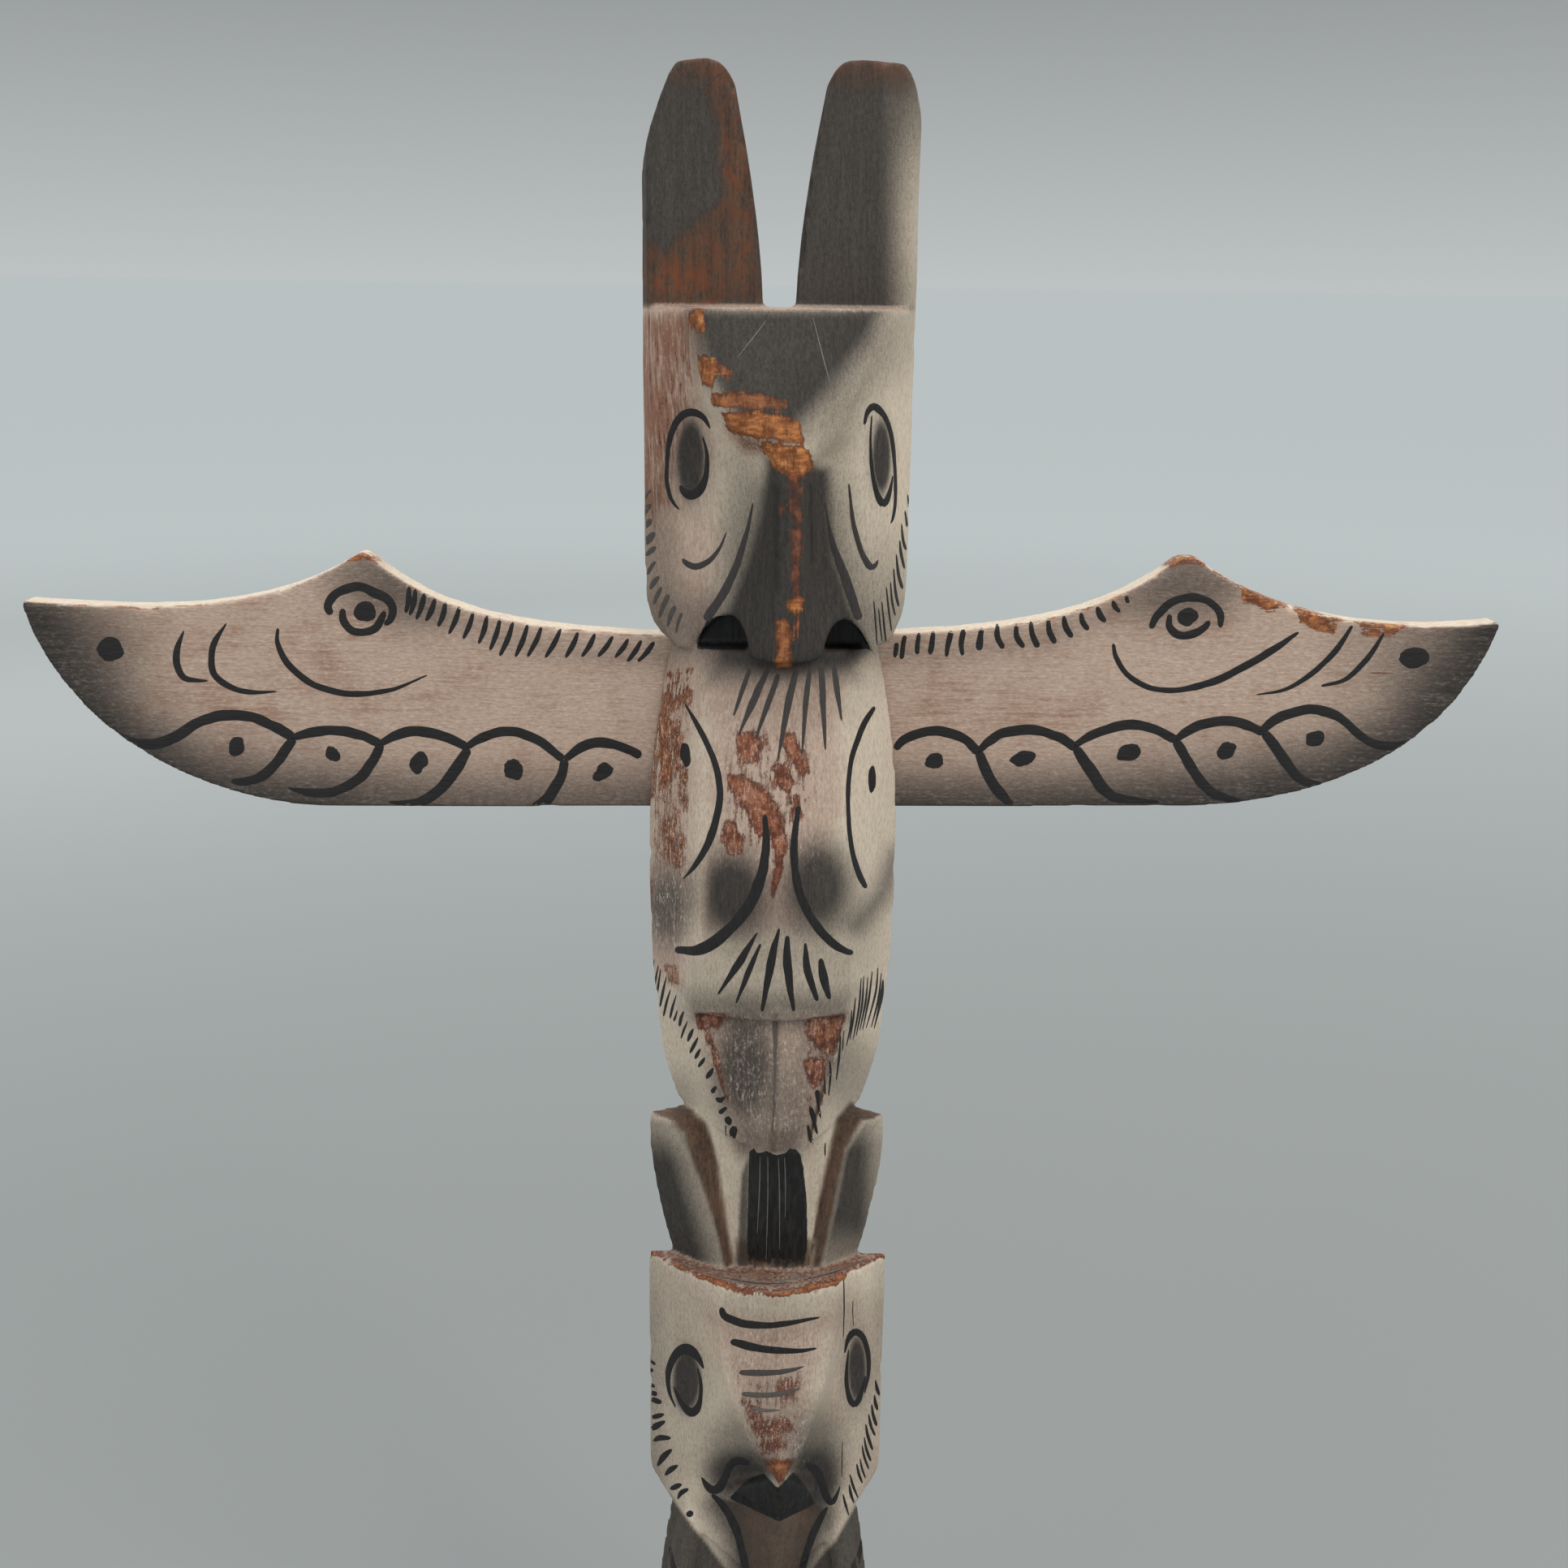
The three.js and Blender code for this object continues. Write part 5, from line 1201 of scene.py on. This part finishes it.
for a, c, e in (
    ((360, 909), (411, 900), (470, 917)), ((469, 916), (514, 901), (577, 921)),
    ((575, 920), (628, 901), (694, 936)), ((696, 936), (737, 915), (790, 931)),
):
    b.stroke([(a[0], a[1], 7), (a[0] * 0.55 + c[0] * 0.45, a[1] * 0.3 + c[1] * 0.7, 10), (c[0], c[1], 10.5), (c[0] * 0.5 + e[0] * 0.5, c[1] * 0.72 + e[1] * 0.28, 10), (e[0], e[1], 9)])
for tail in (
    [(362, 909, 9), (352, 924, 10.5), (341, 940, 11), (321, 957, 10), (300, 963, 9), (285, 962, 4)],
    [(470, 916, 9), (459, 938, 11), (444, 958, 11), (415, 974, 10), (385, 977, 9), (355, 971, 2)],
    [(577, 922, 9), (563, 946, 12), (547, 967, 12), (526, 984, 11), (505, 990, 8), (479, 988, 2)],
    [(696, 936, 9), (692, 955, 11), (684, 970, 12), (672, 986, 12), (656, 996, 8)],
):
    b.stroke(tail)
for x, y, rx, ry, t in ((292, 919, 9.5, 13, 25), (410, 929, 8.5, 10, -30), (516, 940, 10.5, 13, 20), (632, 948, 12, 13, 10), (743, 951, 14, 9, -30)):
    b.dab(x, y, rx, ry, t, 0.16)

b.broad = 1.12
b.dab(1743, 810, 19.5, 13, -8, 0.1)
b.stroke([(1371.5, 793, 3.6), (1376, 812, 5.5), (1389, 831, 6), (1410, 845, 6), (1432, 850, 6), (1460, 849, 6.5), (1502, 837, 8), (1548, 813, 8), (1574, 797, 7), (1600, 779, 3)])
b.stroke([(1666, 771, 3.6), (1650, 796, 6), (1630, 818, 6.5), (1608, 836, 5.5), (1582, 850, 4), (1548, 856, 1.4)])
b.stroke([(1705, 780, 2.4), (1693, 800, 5.5), (1676, 821, 6), (1656, 838, 5), (1628, 845, 3)])
b.stroke([(1418, 774, 7), (1426, 758, 9), (1444, 742, 9), (1466, 736, 9), (1489, 741, 8.5), (1503, 756, 8), (1504, 773, 5)])
b.stroke([(1441, 757, 5), (1441, 772, 8), (1452, 782, 9), (1470, 781, 9), (1484, 773, 8), (1490, 765, 5)])
b.dab(1463, 760, 12.5, 11, 0, 0.1)
for t in (
    [(1105, 792, 5), (1102.5, 810, 4)], [(1115, 783, 5), (1111, 812, 5)], [(1132.5, 780, 4), (1130, 806, 5)], [(1150, 778, 5), (1146, 806, 5.5)],
    [(1172, 777.5, 6), (1168, 795, 6), (1166, 809, 4)], [(1187.5, 776, 6), (1184, 793, 6), (1186, 807.5, 4)], [(1209.5, 774, 5), (1206, 801, 7)],
    [(1229, 769, 4), (1229, 784, 6.5), (1236, 799, 6)], [(1252, 770, 4), (1253, 785, 6.5), (1261.5, 797.5, 6)], [(1270, 766, 5), (1272, 782, 6.5), (1279, 797.5, 7)],
    [(1291.5, 762.5, 4), (1293, 778, 6.5), (1300, 792.5, 6)], [(1311, 759, 4), (1313, 772, 6.5), (1321, 785, 6)], [(1332, 755, 4), (1334, 766, 6.5), (1341, 776, 5)],
    [(1352, 747.5, 4), (1355, 757, 7), (1362, 766, 5)], [(1371, 740, 4), (1374, 748, 6), (1380, 754, 4)], [(1388, 734, 4), (1391, 742.5, 4)],
):
    b.stroke(t)
b.broad = 1.18
b.stroke([(1103, 923, 7), (1113, 912, 9.5), (1127, 905, 10.5), (1145, 901, 10.5), (1164, 902, 10.5), (1190, 911, 10), (1207, 928, 10)])
b.stroke([(1206, 926, 7), (1219, 913, 9.5), (1238, 903, 10.5), (1269, 899, 10.5), (1298, 905, 10), (1326, 922, 10)])
b.stroke([(1324, 919, 6), (1343, 907, 9), (1366, 898, 10), (1395, 893, 10), (1422, 898, 10), (1449, 912, 9.5)])
b.stroke([(1448, 912, 7), (1463, 901, 9.5), (1480, 893, 10), (1508, 888, 10), (1534, 892, 10), (1557, 903, 9.5)])
b.stroke([(1553, 902, 7), (1568, 889, 10), (1590, 879, 10.5), (1616, 874, 10), (1642, 880, 10), (1658, 890, 9), (1672, 903, 9), (1690, 915, 9), (1712, 919, 9), (1738, 914, 4)])
for tail in (
    [(1206, 926, 9), (1211, 941, 11), (1219, 958, 11), (1232, 977, 11), (1249, 997, 7)],
    [(1325, 921, 9), (1335, 937, 11.5), (1346, 953, 12), (1360, 973, 12), (1380, 984, 10), (1428, 988, 2)],
    [(1448, 912, 9), (1458, 929, 11), (1468, 946, 11), (1488, 972, 10.5), (1510, 983, 8), (1530, 986, 3)],
    [(1557, 902, 9), (1568, 916, 11), (1579, 932, 11), (1596, 954, 11), (1614, 965, 9), (1640, 967, 2)],
):
    b.stroke(tail)
for x, y, rx, ry, t in ((1151, 938, 13, 9.5, -25), (1261, 935, 15, 9.5, -18), (1392, 927, 15, 10, -22), (1511, 925, 13, 10, -20), (1620, 910, 13, 9.5, -10)):
    b.dab(x, y, rx, ry, t, 0.14)

wing_lines = b.finish("wing_brush_lines", wing_ink, "painted_board", lambda at: np.zeros(len(at)))

# ---- floor and light -----------------------------------------------------------------
m = Net("floor_paper")
at = m.place()
n = m.new("VectorMath")
n.operation = "LENGTH"
m.put(n.inputs[0], at)
# darker near the pole, lighter far off: painted shade pooled on the floor round the pole, fading to match the sky at
# the horizon
far = m.step(m.math("MULTIPLY_ADD", m.noise(at, 0.0006, 2), 260.0, n.outputs["Value"]), 250.0, 2600.0)
m.put(m.shader.inputs["Base Color"], m.mix(far, colour(144, 147, 147), colour(216, 219, 219)))
m.put(m.shader.inputs["Roughness"], 0.95)
m.put(m.shader.inputs["Specular IOR Level"], 0.0)
floor_mesh = bpy.data.meshes.new("floor")
R = 90.0
floor_mesh.from_pydata([(-R, -R, 0), (R, -R, 0), (R, R, 0), (-R, R, 0)], [], [(0, 1, 2, 3)])
floor_mesh.materials.append(m.material)
floor = bpy.data.objects.new("floor", floor_mesh)
scene.collection.objects.link(floor)

world = bpy.data.worlds.new("studio")
scene.world = world
world.use_nodes = True
wt = world.node_tree
sky = wt.nodes["Background"]
sky.inputs[1].default_value = 1.0
where = wt.nodes.new("ShaderNodeTexCoord")
part = wt.nodes.new("ShaderNodeSeparateXYZ")
ramp = wt.nodes.new("ShaderNodeValToRGB")
wt.links.new(where.outputs["Generated"], part.inputs[0])
wt.links.new(part.outputs["Z"], ramp.inputs[0])
wt.links.new(ramp.outputs[0], sky.inputs[0])
for k, (at_, v) in enumerate(((0.0, 0.54), (0.15, 0.32), (0.4, 0.72), (1.0, 0.86))):
    e = ramp.color_ramp.elements[k] if k < 2 else ramp.color_ramp.elements.new(at_)
    e.position = at_
    e.color = (v * 0.94, v * 0.992, v, 1)


def softbox(name, at, target, wide, high, power, tone=(1, 1, 1)):
    data = bpy.data.lights.new(name, "AREA")
    data.shape = "RECTANGLE"
    data.size, data.size_y = wide, high
    data.energy = power
    data.color = tone
    lamp = bpy.data.objects.new(name, data)
    scene.collection.objects.link(lamp)
    lamp.location = at
    lamp.rotation_euler = (Vector(target) - Vector(at)).to_track_quat("-Z", "Y").to_euler()


softbox("key", (0.8, -0.75, 1.0), (0, 0, 0.25), 0.6, 0.6, 6, (1, 0.97, 0.92))
softbox("top", (0.0, 0.15, 1.35), (0, 0, 0.3), 0.7, 0.5, 5, (1, 0.97, 0.93))
softbox("fill", (-0.85, -0.7, 0.55), (0, 0, 0.25), 0.6, 0.6, 1.8, (1, 0.98, 0.95))
softbox("rear", (-0.5, 1.2, 0.8), (0, 0, 0.25), 0.9, 0.6, 3, (1, 1, 1))

scene.view_settings.view_transform = "Standard"
scene.view_settings.look = "None"
